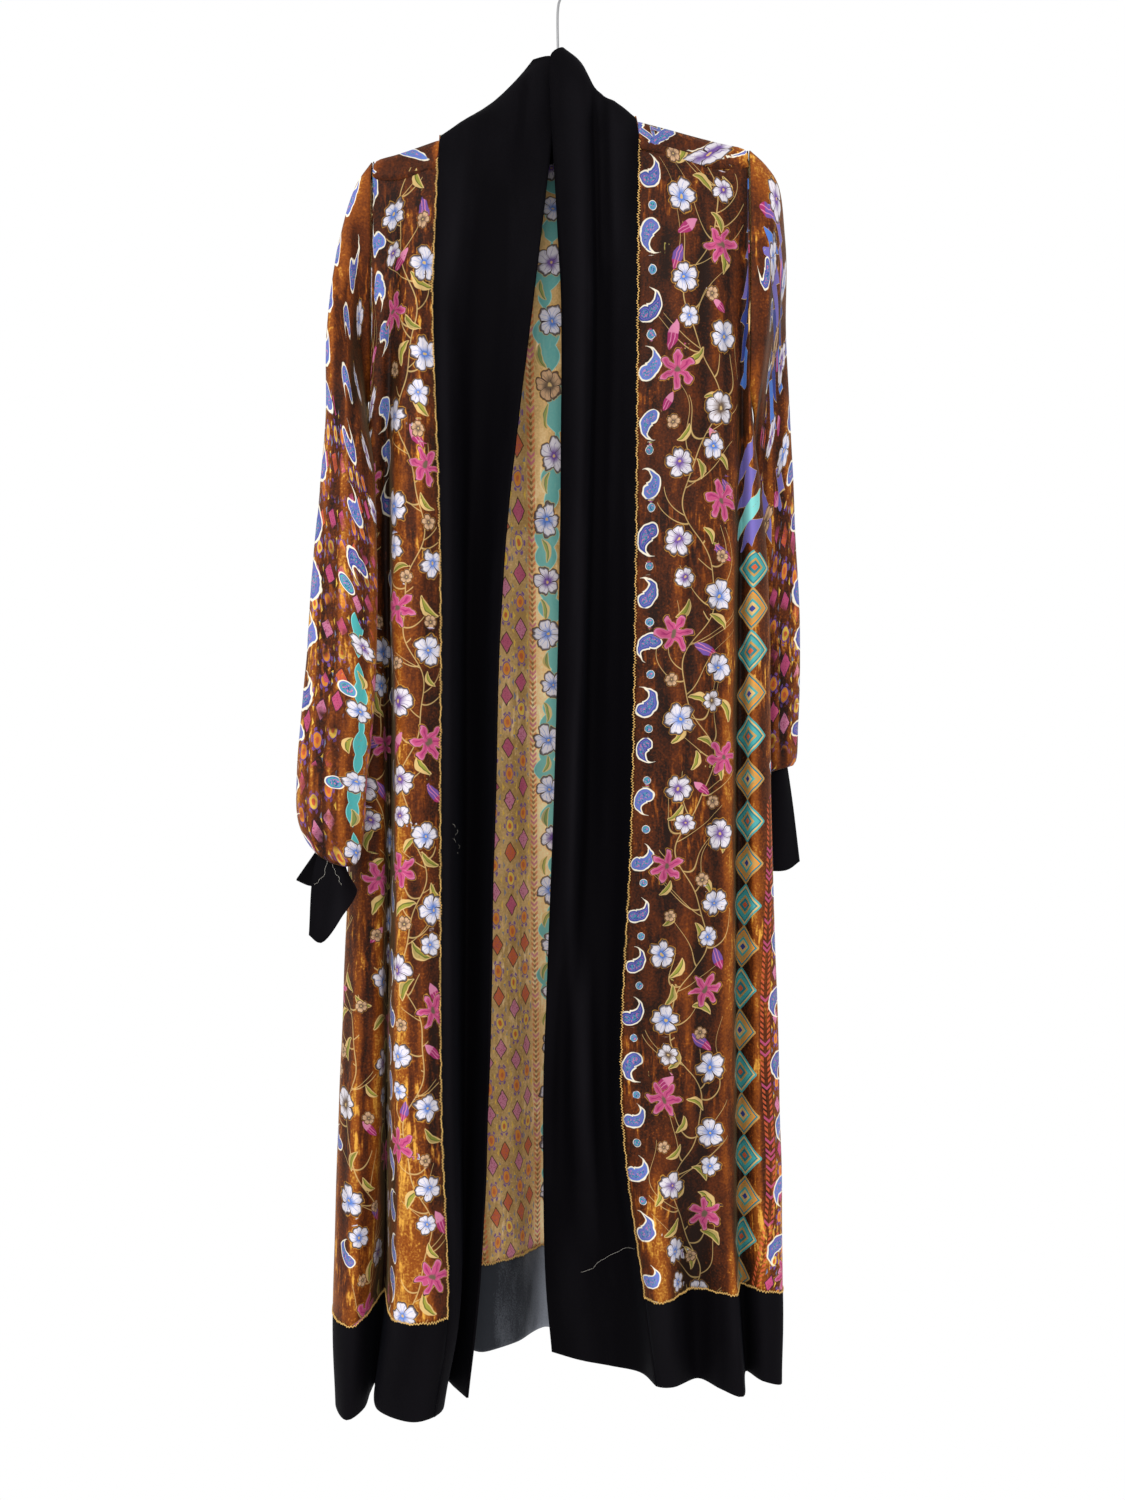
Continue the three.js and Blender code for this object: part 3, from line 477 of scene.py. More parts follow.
def sleeve_sheet(side, spacing):
    """A sleeve's places, rings that close on themselves from the armhole to the gathers."""
    rows, armhole = SLEEVE_RINGS[side], ARMHOLES[side]
    angles = np.arange(SLEEVE_COLUMNS) * 360 / SLEEVE_COLUMNS
    start = np.array([armhole_place(armhole, angle) for angle in angles])
    start[:, 0] += math.copysign(ARMHOLE_GAP, armhole[0])
    count = len(rows)
    knots = np.stack([start, *[sleeve_ring(row, i + 1, count, angles) for i, row in enumerate(rows)]])
    across = turned(along(knots, even_steps(knots, 0, count, spacing)))
    turns = np.linspace(0, SLEEVE_COLUMNS, round(SLEEVE_PERIMETER / spacing) + 1)[:-1]
    return turned(along(across, turns, closed=True))


# ---- creases ----


def outward_normals(grid, outward, closed=False):
    """A sheet's unit normals, turned outward: a direction, or None for round a tube."""
    down = np.gradient(grid, axis=0)
    if closed:
        across = np.roll(grid, -1, axis=1) - np.roll(grid, 1, axis=1)
    else:
        across = np.gradient(grid, axis=1)
    normals = np.cross(across, down)
    normals = normals / np.maximum(np.linalg.norm(normals, axis=2, keepdims=True), 1e-9)
    away = grid - grid.mean(axis=1, keepdims=True) if outward is None else np.array(outward, float)
    return normals * np.sign((normals * away).sum(-1).mean())


def creased(grid, normals, creases, seen=None):
    """The sheet with troughs and ridges along its creases, and how far each place was moved.

    A crease is (x, z) at its top, middle and bottom, its half width and its depth: a ridge's
    depth is below zero. seen limits them to places whose normal points that way.
    """
    moved = np.zeros(grid.shape[:2])
    x, z = grid[..., 0], grid[..., 2]
    for top, middle, bottom, width, depth in creases:
        share = np.clip((top[1] - z) / (top[1] - bottom[1]), 0, 1)
        bow = (middle[0] - (top[0] + bottom[0]) / 2) * 4 * share * (1 - share)
        line = top[0] + (bottom[0] - top[0]) * share + bow
        beyond = np.maximum(z - top[1], bottom[1] - z)
        fade = np.clip(np.sin(np.pi * share), 0, 1) ** 0.6 * (beyond < 0)
        away = (x - line) / width
        moved -= depth * fade * np.exp(-away * away)
    if seen is not None:
        moved = moved * smoothstep((normals * np.array(seen, float)).sum(-1), 0.1, 0.5)
    return grid + normals * moved[..., None], moved


def ripples(grid, seed, height, length=11, stretch=2.6, count=14):
    """Small uneven swells of a sheet, longer than they are wide."""
    source = np.random.default_rng(seed)
    total = np.zeros(grid.shape[:2])
    for _ in range(count):
        turn = source.uniform(-0.5, 0.5)
        wide = length * source.uniform(0.6, 1.6)
        phase, lean = source.uniform(0, 6.28, 2)
        across = grid[..., 0] * math.cos(turn) + grid[..., 1] * 0.7
        down = grid[..., 2] / stretch + grid[..., 0] * math.sin(turn) * 0.4
        total += np.sin(across / wide + phase) * np.sin(down / wide * 1.3 + lean)
    return total * height / 4


# ---- the print's layout, in millimetres from a piece's seam and down from its top ----

FLOWER, STAR, PAISLEY, LEAF, BUD, ROUNDEL = range(6)
GOLDEN_SHARE = 0.618


def vine(source, centre, half, top, bottom, pitch=33):
    """Flowers on both sides of a climbing stem, with leaves and buds between them."""
    flowers, shapes, small = [], [], []
    down, side, count = top + source.uniform(0, pitch), 1, 0
    while down < bottom:
        across = centre + side * half * source.uniform(0.55, 1.0)
        if count % 3 == 2:
            star = (across, down, source.uniform(17, 20), source.uniform(0, 360), STAR, 0.5)
            flowers.append(star)
        else:
            radius = source.uniform(14, 17)
            flowers.append((across, down, radius, source.uniform(0, 72), FLOWER, source.uniform(0.12, 1)))
            if count % 3 == 0:
                near = side * source.uniform(-4, 4) + across - side * 3
                tint = source.uniform(0.12, 1)
                flowers.append((near, down + 32, radius * 0.75, source.uniform(0, 72), FLOWER, tint))
        for step in (12, 30)[: 1 + count % 2]:
            place = (centre - side * half * source.uniform(0.3, 1.0), down + step)
            small.append((*place, source.uniform(6.5, 8), source.uniform(0, 72), FLOWER, 0.05))
        for _ in range(5):
            place = (centre - side * half * source.uniform(0.0, 1.2), down + source.uniform(-24, 24))
            kind = LEAF if source.uniform() < 0.7 else BUD
            lean = 90 + side * source.uniform(10, 70)
            shapes.append((*place, source.uniform(8.5, 13.5), lean, kind, source.uniform(0, 1)))
        down += pitch * source.uniform(0.85, 1.12) + (14 if count % 3 == 0 else 0)
        side, count = -side, count + 1
    return flowers + small, shapes


def column(source, centre, top, bottom, pitch, radius, kind, sway=2.0):
    """One kind of shape at nearly even steps down a line."""
    shapes = []
    for down in np.arange(top, bottom, pitch):
        across = centre + source.uniform(-sway, sway)
        lean = source.choice((75, 105, 255, 285)) + source.uniform(-12, 12)
        size = radius * source.uniform(0.9, 1.1)
        shapes.append((across, down + source.uniform(-3, 3), size, lean, kind, source.uniform(0, 1)))
    return shapes


def thinned(shapes, gap, widen=1, around=10000):
    """The shapes without any that come closer than gap to one before them."""
    kept = []
    for shape in shapes:
        for other in kept:
            apart = abs(shape[0] - other[0]) % around
            across = min(apart, around - apart) / widen
            if math.hypot(across, shape[1] - other[1]) < shape[2] + other[2] + gap:
                break
        else:
            kept.append(shape)
    return kept


def marks(seed, gaps, vines=(), blooms=(), others=(), sized=()):
    """A print's flowers and its other shapes: its vines and its columns, thinned out."""
    source = np.random.default_rng(seed)
    grown = [vine(source, *row) for row in vines]
    bloomed = [column(source, *row) for row in blooms]
    added = [column(source, *row) for row in others]
    flowers = sum([part[0] for part in grown] + bloomed, [])
    shapes = sum(added + [part[1] for part in grown], [])
    return thinned(flowers, gaps[0], *sized), thinned(shapes, gaps[1], *sized)


def stamped(across, down, shapes, period=None, widen=1):
    """Each place's coordinates in its nearest shape, and that shape's kind, tint and chance."""
    table = np.array(shapes, float)
    place, kind = np.zeros((*across.shape, 3)), np.zeros((*across.shape, 3))
    for row in range(len(across)):
        apart_u = across[row][:, None] - table[:, 0]
        if period is not None:
            apart_u -= np.round(apart_u / period[row]) * period[row]
        apart_u /= widen
        apart_v = down[row][:, None] - table[:, 1]
        beyond = np.hypot(apart_u, apart_v) - table[:, 2]
        nearest = beyond.argmin(axis=1)
        each = np.arange(len(nearest))
        u, v = apart_u[each, nearest], apart_v[each, nearest]
        radius, turn = table[nearest, 2], np.radians(table[nearest, 3])
        p = (u * np.cos(turn) + v * np.sin(turn)) / radius
        q = (v * np.cos(turn) - u * np.sin(turn)) / radius
        place[row] = np.stack([p, q, beyond[each, nearest]], axis=1)
        kind[row] = np.stack([table[nearest, 4], table[nearest, 5], (nearest * GOLDEN_SHARE) % 1], axis=1)
    return place, kind


# ---- shader maths ----


def colour(code, alpha=1.0):
    """A hex colour in the linear values that shaders take."""
    parts = [int(code[i : i + 2], 16) / 255 for i in (0, 2, 4)]
    return (*[c / 12.92 if c <= 0.04045 else ((c + 0.055) / 1.055) ** 2.4 for c in parts], alpha)


UV_NAME = "UVMap"
TONES = {
    "shadow": "220e05", "rust": "552509", "bronze": "84430f", "gold": "d39a3c", "cream": "efe6cf",
    "white": "dad4da", "ink": "2b1a26", "violet": "6f66b0", "blue": "6280c6", "deep": "2f3f86",
    "turquoise": "429e9e", "teal": "217882", "sea": "7ccac6", "tan": "b98f4e", "coral": "c85a36",
    "pink": "bb4c78", "magenta": "9c2b63", "olive": "8f8f3a", "moss": "5c6326", "orange": "dd8a2c",
    "yellow": "e5bd4c", "grey": "6d7b94", "plum": "6a4a93", "azure": "4a76c4", "rose": "cc7b9c",
    "straw": "cfae70", "beige": "c9a27c", "dusk": "6a5646",
}
TONE = {name: colour(code) for name, code in TONES.items()}


class Value:
    """A shader's number: Python's operators on it add maths nodes."""

    def __init__(self, shader, socket):
        self.shader, self.socket = shader, socket

    def maths(self, operation, *others):
        """A maths node with this number first."""
        return self.shader.maths(operation, self, *others)

    def swapped(self, operation, other):
        """A maths node with this number last."""
        return self.shader.maths(operation, other, self)

    __add__ = __radd__ = partialmethod(maths, "ADD")
    __sub__ = partialmethod(maths, "SUBTRACT")
    __rsub__ = partialmethod(swapped, "SUBTRACT")
    __mul__ = __rmul__ = partialmethod(maths, "MULTIPLY")
    __truediv__ = partialmethod(maths, "DIVIDE")
    __pow__ = partialmethod(maths, "POWER")
    __abs__ = partialmethod(maths, "ABSOLUTE")
    __lt__ = partialmethod(maths, "LESS_THAN")
    __gt__ = partialmethod(maths, "GREATER_THAN")
    part = partialmethod(maths, "FRACT")
    floor = partialmethod(maths, "FLOOR")
    sin = partialmethod(maths, "SINE")
    cos = partialmethod(maths, "COSINE")
    root = partialmethod(maths, "SQRT")
    at_least = partialmethod(maths, "MAXIMUM")
    at_most = partialmethod(maths, "MINIMUM")

    def clamp(self):
        """The number kept between nought and one."""
        value = self + 0
        value.socket.node.use_clamp = True
        return value

    def below(self, edge, soft):
        """One below the edge and nought above it, softly."""
        return ((edge - self) / soft + 0.5).clamp()

    def between(self, low, high):
        """One between two edges, and nought elsewhere."""
        return (self > low) * (self < high)

    def equals(self, number):
        """One where this is a whole number, and nought elsewhere."""
        return abs(self - number).below(0.5, 0.01)


class Shader:
    """A material's nodes. A tone is a name in TONE, a colour or a link."""

    def __init__(self, name):
        self.material = bpy.data.materials.new(name)
        self.material.use_nodes = True
        self.tree = self.material.node_tree
        self.tree.nodes.clear()

    def node(self, kind, settings=None, inputs=None):
        """A node of a kind, with its settings first and then its sockets' values or links."""
        made = self.tree.nodes.new(kind)
        for name, value in (settings or {}).items():
            setattr(made, name, value)
        for name, value in (inputs or {}).items():
            if isinstance(value, Value):
                self.tree.links.new(value.socket, made.inputs[name])
            else:
                made.inputs[name].default_value = TONE[value] if isinstance(value, str) else value
        return made

    def out(self, made, name=0):
        """One of a node's results."""
        return Value(self, made.outputs[name])

    def maths(self, operation, *values):
        return self.out(self.node("ShaderNodeMath", {"operation": operation}, dict(enumerate(values))))

    def mix(self, share, first, second, blend="MIX"):
        """Two tones mixed: a share of nought is the first alone."""
        settings = {"data_type": "RGBA", "blend_type": blend}
        return self.out(self.node("ShaderNodeMix", settings, {0: share, 6: first, 7: second}), 2)

    def parts(self, vector):
        """A vector's three numbers."""
        made = self.node("ShaderNodeSeparateXYZ", None, {0: vector})
        return [self.out(made, i) for i in range(3)]

    def vector(self, x, y, z=0.0):
        return self.out(self.node("ShaderNodeCombineXYZ", None, {0: x, 1: y, 2: z}))

    def attribute(self, name, output="Vector"):
        """A mesh attribute: its vector, or its number from the output Fac."""
        return self.out(self.node("ShaderNodeAttribute", {"attribute_name": name}), output)

    def uv(self):
        """Millimetres across and down the piece, from its own map."""
        across, down, _ = self.parts(self.out(self.node("ShaderNodeUVMap", {"uv_map": UV_NAME})))
        return across * PER_METRE, down * PER_METRE

    def noise(self, scale, detail=2.0, stretch=(1, 1, 1), roughness=0.5):
        """A cloud of noise in the object's own space; scale counts its cells in a metre."""
        place = self.out(self.node("ShaderNodeTexCoord"), "Object")
        sized = self.node("ShaderNodeMapping", None, {"Vector": place, "Scale": stretch})
        inputs = {"Vector": self.out(sized), "Scale": scale, "Detail": detail, "Roughness": roughness}
        return self.out(self.node("ShaderNodeTexNoise", None, inputs), "Fac")

    def chance(self, x, y):
        """A random number for each pair of whole numbers."""
        inputs = {"Vector": self.vector(x, y)}
        return self.out(self.node("ShaderNodeTexWhiteNoise", {"noise_dimensions": "3D"}, inputs), "Value")

    def ramp(self, share, stops, steps=False):
        """Colours along a number: stops are (position, tone)."""
        made = self.node("ShaderNodeValToRGB", None, {0: share})
        made.color_ramp.interpolation = "CONSTANT" if steps else "LINEAR"
        elements = made.color_ramp.elements
        while len(elements) < len(stops):
            elements.new(1)
        for element, (position, tone) in zip(elements, stops):
            element.position, element.color = position, TONE.get(tone, tone)
        return self.out(made)

    def surface(self, height, relief, distance, **inputs):
        """The finished material: a principled surface with a bump."""
        bump = self.node("ShaderNodeBump", None, {"Strength": relief, "Distance": distance, "Height": height})
        inputs = {name.replace("_", " "): value for name, value in inputs.items()}
        made = self.node("ShaderNodeBsdfPrincipled", None, {**inputs, "Normal": self.out(bump)})
        end = self.node("ShaderNodeOutputMaterial")
        self.tree.links.new(made.outputs[0], end.inputs["Surface"])
        return self.material

    def cloth(
        self, tone, rough, sheen, sheen_tone, sheen_rough, height, relief, distance=0.0008, specular=0.12,
    ):
        """The finished cloth: a base colour, a velvet's sheen and a bumped surface."""
        return self.surface(
            height, relief, distance, Base_Color=tone, Roughness=rough, Sheen_Weight=sheen,
            Sheen_Tint=sheen_tone, Sheen_Roughness=sheen_rough, Specular_IOR_Level=specular,
        )


# ---- materials ----


def warped(shader, name, amount):
    """A stamp's coordinates, bent a little so that no two of its shapes are alike."""
    p, q, inside = shader.parts(shader.attribute(name))
    bend = shader.noise(85, 1.0)
    other = shader.noise(120, 1.0)
    return p + (bend - 0.5) * amount, q + (other - 0.5) * amount, inside


def flowers_over(shader, base, pale):
    """The base colour with the sheet's flowers over it."""
    p, q, inside = warped(shader, "flower_at", 0.5)
    kind, tint, _ = shader.parts(shader.attribute("flower_is"))
    shown = inside.below(0.0, 0.6)
    far = (p * p + q * q).root()
    angle = q.maths("ARCTAN2", p)
    wave = abs((angle * 2.5).cos())
    notch = (1 - wave).below(0.05, 0.05)
    petal = 0.58 + 0.34 * wave ** 0.55 - 0.06 * notch
    heart = shader.mix(tint > 0.5, "plum", "azure")
    heart = shader.mix(tint < 0.16, heart, "dusk")
    veins = abs((angle * 7.5).sin()).below(0.2, 0.16) * far.below(0.66, 0.2)
    white = shader.mix(tint < 0.1, "white", "beige")
    white = shader.mix((far + tint * 0.1).below(0.36, 0.3), white, heart)
    white = shader.mix(veins * 0.75, white, heart)
    cleft = wave.below(0.13, 0.08) * (far > 0.16)
    white = shader.mix(cleft, white, "ink")
    white = shader.mix(far.below(0.09, 0.04), white, "straw")
    white = shader.mix((petal - 0.1 - far).below(0.0, 0.06) * 0.85, white, "ink")
    ray = 0.34 + 0.6 * abs((angle * 3).cos()) ** 1.6
    ribs = abs((angle * 3).sin()).below(0.22, 0.14) * far.below(0.7, 0.2)
    star = shader.mix(ribs, "pink", "magenta")
    star = shader.mix(far.below(0.14, 0.08), star, "dusk")
    star = shader.mix((ray - 0.12 - far).below(0.0, 0.06) * 0.7, star, "rose")
    is_star = kind.equals(STAR)
    edge = petal + (ray - petal) * is_star
    tone = shader.mix(is_star, white, star)
    rim = far.below(edge + 0.08, 0.03) * shown * pale * 0.6
    result = shader.mix(rim, base, "gold")
    result = shader.mix(far.below(edge + 0.035, 0.02) * shown * pale, result, "ink")
    return shader.mix(far.below(edge - 0.02, 0.03) * shown * pale, result, tone)


def shapes_over(shader, base, pale):
    """The base colour with the sheet's paisleys, leaves, buds and roundels over it."""
    p, q, inside = warped(shader, "shape_at", 0.28)
    kind, tint, chance = shader.parts(shader.attribute("shape_is"))
    shown = inside.below(0.0, 0.6) * pale
    far = (p * p + q * q).root()
    high = q + 0.25
    arc = 0.95 - (p * p + high * high).root()
    head = 0.475 - ((p + 0.475) ** 2 + high * high).root()
    hollow = ((p - 0.51) ** 2 + high * high).root() - 0.42
    depth = arc.at_most(head.at_least(high.at_most(hollow)))
    blue = shader.mix(tint, "blue", "deep")
    grain = shader.noise(620, 1.0)
    stops = [(0, "rose"), (0.4, "violet"), (0.5, "turquoise"), (0.6, "deep")]
    specks = shader.ramp(grain, stops, True)
    paisley = shader.mix((depth > 0.26) * 0.7, blue, specks)
    paisley = shader.mix(abs(depth - 0.2).below(0.02, 0.03), paisley, "violet")
    paisley = shader.mix(depth.below(0.085, 0.03), paisley, "cream")
    bend = q - 0.42 * p * p + 0.16
    leaf_edge = 0.34 * (1 - p * p).at_least(0.0) ** 0.8
    leaf = shader.mix(bend > 0.0, "straw", "olive")
    leaf = shader.mix((chance > 0.75) * 0.5, leaf, "moss")
    leaf = shader.mix(abs(bend).below(0.04, 0.03), leaf, "moss")
    leaf = shader.mix((leaf_edge - 0.08 - abs(bend)).below(0.0, 0.04), leaf, "straw")
    bud = shader.mix((p + 0.1).below(0.0, 0.1), "magenta", "rose")
    bud = shader.mix((chance < 0.3) * (p < 0.3), bud, "plum")
    bud = shader.mix(abs(abs(q) - 0.12).below(0.03, 0.03), bud, "rose")
    bud_edge = 0.4 * (1 - p * p).at_least(0.0)
    ring = (far * 3.2 + grain * 0.7).part()
    round_tone = shader.mix(ring < 0.45, blue, "turquoise")
    round_tone = shader.mix(far.below(0.5, 0.1), round_tone, specks)
    round_tone = shader.mix((0.8 - far).below(0.0, 0.06), round_tone, "cream")
    inside_paisley = (0.0 - depth).below(0.0, 0.03)
    result = shader.mix(inside_paisley * kind.equals(PAISLEY) * shown, base, paisley)
    inside_leaf = (abs(bend) - leaf_edge).below(0.0, 0.04)
    result = shader.mix(inside_leaf * kind.equals(LEAF) * shown, result, leaf)
    inside_bud = (abs(q) - bud_edge).below(0.0, 0.05)
    result = shader.mix(inside_bud * kind.equals(BUD) * shown, result, bud)
    inside_ring = far.below(0.92, 0.05)
    return shader.mix(inside_ring * kind.equals(ROUNDEL) * shown, result, round_tone)


def stem_over(shader, base, u, v, low, high, pale):
    """A wavy stem with curved side shoots up the middle of a vine's band."""
    middle, half = (low + high) / 2, (high - low) / 2
    sway = (v * 0.039).sin() * half * 0.4 + (v * 0.101).sin() * 2.4
    away = abs(u - middle - sway)
    stem = away.below(0.5, 0.5)
    side = (u > middle + sway) * 0.5
    climb = (v + away * 0.5 + away * away * 0.035) / 46 + side
    chosen = shader.chance(climb.floor(), side * 8 + 1.0) * half * 1.3
    shoots = abs(climb.part() - 0.5).below(0.012, 0.012) * (away < chosen)
    curl = (v * 1.0 - away * 0.4 + away * away * 0.05) / 71 + side
    curls = abs(curl.part() - 0.3).below(0.009, 0.009) * (away < half * 0.75)
    lines = stem.at_least(shoots).at_least(curls) * u.between(low, high) * pale
    return shader.mix(lines * 0.75, base, "straw")


def stripe_over(shader, base, u, v, low, high, pale):
    """Broken slanting shards of blue and violet down a stripe."""
    middle, half = (low + high) / 2, (high - low) / 2
    slant = (v + (u - middle) * 1.6 + (v * 0.11).sin() * 4) / 27
    pick = shader.chance(slant.floor(), 5.0)
    away = abs(u - middle + (v * 0.23).sin() * 1.2)
    reach = half * (1.25 - abs(slant.part() - 0.5) * 2.1)
    body = (away < reach) * (pick > 0.3)
    tone = shader.ramp(pick, [(0, "deep"), (0.45, "violet"), (0.7, "azure"), (0.85, "sea")], True)
    tone = shader.mix((reach - away).below(0.8, 0.5), tone, "straw")
    return shader.mix(body * pale, base, tone)


def squares_over(shader, base, u, v, low, high, pale):
    """Nested squares standing on their corners, one under another."""
    pitch = high - low
    row = v / pitch
    x, y = (u - low) / pitch - 0.5, row.part() - 0.5
    far = abs(x) + abs(y)
    stops = [(0, "coral"), (0.08, "teal"), (0.17, "tan"), (0.24, "turquoise"),
             (0.36, "teal"), (0.41, "straw"), (0.46, "turquoise")]
    other = [(0, "deep"), (0.08, "straw"), (0.17, "turquoise"), (0.24, "tan"),
             (0.36, "orange"), (0.41, "teal"), (0.46, "tan")]
    odd = (row / 2).part() > 0.5
    tone = shader.mix(odd, shader.ramp(far, stops, True), shader.ramp(far, other, True))
    shown = u.between(low, high) * (far < 0.52) * pale
    return shader.mix(shown, base, tone)


def chain_over(shader, base, u, v, low, high, pale):
    """A line of small arrowheads."""
    middle, half = (low + high) / 2, (high - low) / 2
    away = abs(u - middle)
    row = (v + away * 0.9) / 5.2
    mark = (row.part() < 0.55) * (away < half)
    tone = shader.mix(away < half * 0.35, "coral", "rust")
    tone = shader.mix(shader.chance(row.floor(), 3.0) < 0.3, tone, "pink")
    return shader.mix(mark * pale * 0.8, base, tone)


def diamonds_over(shader, base, u, v, low, high, pale, pitch=15.5, tall=3.5):
    """Columns of nested diamonds, with round flowers ringed by dots between them."""
    columns = max(1, round((high - low) / pitch))
    wide = (high - low) / columns
    wobble = (shader.noise(130, 1.0) - 0.5) * 0.16
    column_at = (u - low) / wide
    row = v / (wide * tall) * 2 + column_at.floor() * 0.5
    x = column_at.part() - 0.5 + wobble
    y = row.part() - 0.5 + wobble
    far = abs(x) + abs(y)
    round_far = (x * x + y * y).root()
    odd = (row.floor() / 2).part() > 0.25
    pick = shader.chance(column_at.floor(), row.floor())
    grain = shader.noise(800, 0.0)
    inner = shader.ramp(pick, [(0, "rose"), (0.4, "pink"), (0.75, "coral")], True)
    inner = shader.mix((grain > 0.62) * 0.7, inner, "magenta")
    diamond = shader.mix(far > 0.37, inner, "ink")
    warm = shader.ramp(pick, [(0, "orange"), (0.45, "yellow"), (0.8, "orange")], True)
    flower = shader.mix(round_far.below(0.11, 0.04), warm, "coral")
    flower = shader.mix(round_far > 0.24, flower, "plum")
    turn = y.maths("ARCTAN2", x)
    dots = round_far.between(0.31, 0.41) * ((turn * 6).cos() > 0.1)
    shown = (far < 0.44) * (1 - odd)
    bloom = ((round_far < 0.28) + dots).clamp() * odd
    inside = u.between(low, high) * pale
    result = shader.mix(shown * inside, base, diamond)
    result = shader.mix(bloom * inside, result, flower)
    corner_x, corner_y = 0.5 - abs(x), 0.5 - abs(y)
    small = (corner_x + corner_y * 0.8 < 0.13) * inside
    return shader.mix(small, result, shader.mix(pick > 0.5, "yellow", "grey"))


def lozenges_over(shader, base, u, v, low, high, pale):
    """The same diamonds, wider, for cloth that hangs in deep pleats."""
    return diamonds_over(shader, base, u, v, low, high, pale, 20, 2.5)


def cloud_over(shader, base, u, v, low, high, pale):
    """Separate turquoise clouds down a band."""
    middle, half = (low + high) / 2, (high - low) / 2
    lumps = abs((v * 0.058 + 0.6).sin()) * 0.75 + abs((v * 0.137).sin()) * 0.4
    drift = (v * 0.031).sin() * half * 0.4
    near = lumps * half - abs(u - middle - drift) - half * 0.2
    tone = shader.mix(near.below(0.9, 0.5), "turquoise", "sea")
    return shader.mix((near > 0.0) * pale, base, tone)


BAND_KINDS = {
    "vine": stem_over, "stripe": stripe_over, "squares": squares_over, "chain": chain_over,
    "diamonds": diamonds_over, "lozenges": lozenges_over, "cloud": cloud_over,
}


def velvet_ground(shader, tones, scale=55):
    """Crushed pile, dark to gold with its uneven lay, with painted light and shade on its folds, a painted
    highlight on their crests, and painted glints and sheen streaks.
    """
    lay = shader.noise(scale, 4.0, (1, 1, 0.45), 0.62)
    pile = shader.noise(scale * 9, 2.0)
    fold = shader.attribute("fold", "Fac")
    # Painted glints: gold flecks where the fine pile noise and a broad noise both run high.
    glint_flecks = (pile - 0.6).at_least(0.0) * (shader.noise(14, 2.0) - 0.4).at_least(0.0) * 4
    # Painted highlight along the crests of the folds.
    crest_highlight = (fold - 0.5).at_least(0.0) * 0.45
    # Broad patches where painted sheen streaks show; the streaks themselves are thin, long and gold.
    wear_and_sheen = (shader.noise(11, 2.0) - 0.42).at_least(0.0)
    sheen_streaks = (shader.noise(260, 3.0, (1, 1, 0.2)) - 0.5).at_least(0.0) * wear_and_sheen * 9
    # The fold term is painted light on ridges and painted shade in hollows; the lay and pile terms are the
    # pile's own uneven tone.
    light = lay * 0.46 + pile * 0.32 - 0.02 + fold * 0.12 + crest_highlight + glint_flecks + sheen_streaks
    return shader.ramp(light, tones), lay, pile


def print_material(name, bands, reverse=False, stamps=True, crushed=False):
    """The printed velvet: its ground, the bands of its print, and its flowers and shapes."""
    shader = Shader(name)
    u, v = shader.uv()
    if reverse:
        tones = [(0.25, colour("ae8850")), (0.5, colour("d8b27a")), (0.8, colour("efd8ac"))]
    else:
        tones = [(0.3, "shadow"), (0.47, "rust"), (0.64, "bronze"), (0.86, "gold")]
    ground, lay, pile = velvet_ground(shader, tones)
    wear_and_sheen = 0.86 if reverse else 0.93
    pale = (pile.below(0.72, 0.1) * wear_and_sheen) if not reverse else shader.noise(300).below(0.9, 0.2) * wear_and_sheen
    tone = ground
    patchy = shader.noise(38, 3.0).below(0.54, 0.14) * pale * 0.82 if crushed else pale
    for kind, low, high, *reach in bands:
        share = patchy if kind in ("diamonds", "lozenges") else pale
        if reach:
            share = share * (v + (u * 0.3).sin() * 5).between(*reach)
        tone = BAND_KINDS[kind](shader, tone, u, v, low, high, share)
    if stamps:
        tone = shapes_over(shader, tone, pale)
        tone = flowers_over(shader, tone, pale)
    # Painted light and shade: lighter on fold ridges, darker in hollows; the reverse is painted lighter
    # overall to lift the dim inside of the garment.
    shade = shader.attribute("fold", "Fac") * 0.3 + (1.15 if reverse else 0.86)
    tone = shader.mix(1.0, tone, shader.vector(shade, shade, shade), "MULTIPLY")
    height = pile * 0.7 + lay * 0.6
    if reverse:
        return shader.cloth(tone, 0.8, 0.15, (1, 0.85, 0.6, 1), 0.5, height, 0.25)
    return shader.cloth(tone, 0.62, 0.1, (1.0, 0.72, 0.36, 1), 0.35, height, 0.55)


def plain_material(name, dark, light, sheen, tint, relief=0.35):
    """Plain velvet, or its smoother reverse."""
    shader = Shader(name)
    lay = shader.noise(18, 4.0, (1, 1, 0.3), 0.6)
    pile = shader.noise(900, 1.0)
    fold = shader.attribute("fold", "Fac")
    # The fold term is painted light on ridges and painted shade in hollows; the lay and pile terms are the
    # velvet's uneven tone.
    light_share = lay * 0.9 + pile * 0.3 - 0.35 + fold * 0.5
    # The top stop is a painted highlight on the fold crests.
    crest_highlight = (*[min(1, c * 1.3 + 0.003) for c in light[:3]], 1)
    tone = shader.ramp(light_share, [(0.15, dark), (0.9, light), (1.0, crest_highlight)])
    return shader.cloth(tone, 0.75, sheen, tint, 0.4, pile * 0.6 + lay, relief, 0.0005, 0.03)


# ---- making the pieces ----


def grid_lengths(grid, closed=False):
    """Arc lengths across and down a sheet in millimetres; a closed sheet has one more column."""
    places = np.concatenate([grid, grid[:, :1]], axis=1) if closed else grid
    across = np.linalg.norm(np.diff(places, axis=1), axis=2)
    across = np.concatenate([np.zeros((len(grid), 1)), np.cumsum(across, axis=1)], axis=1)
    steps = np.linalg.norm(np.diff(grid, axis=0), axis=2).mean(axis=1)
    down = np.repeat(np.concatenate([[0], np.cumsum(steps)])[:, None], across.shape[1], axis=1)
    return across, down


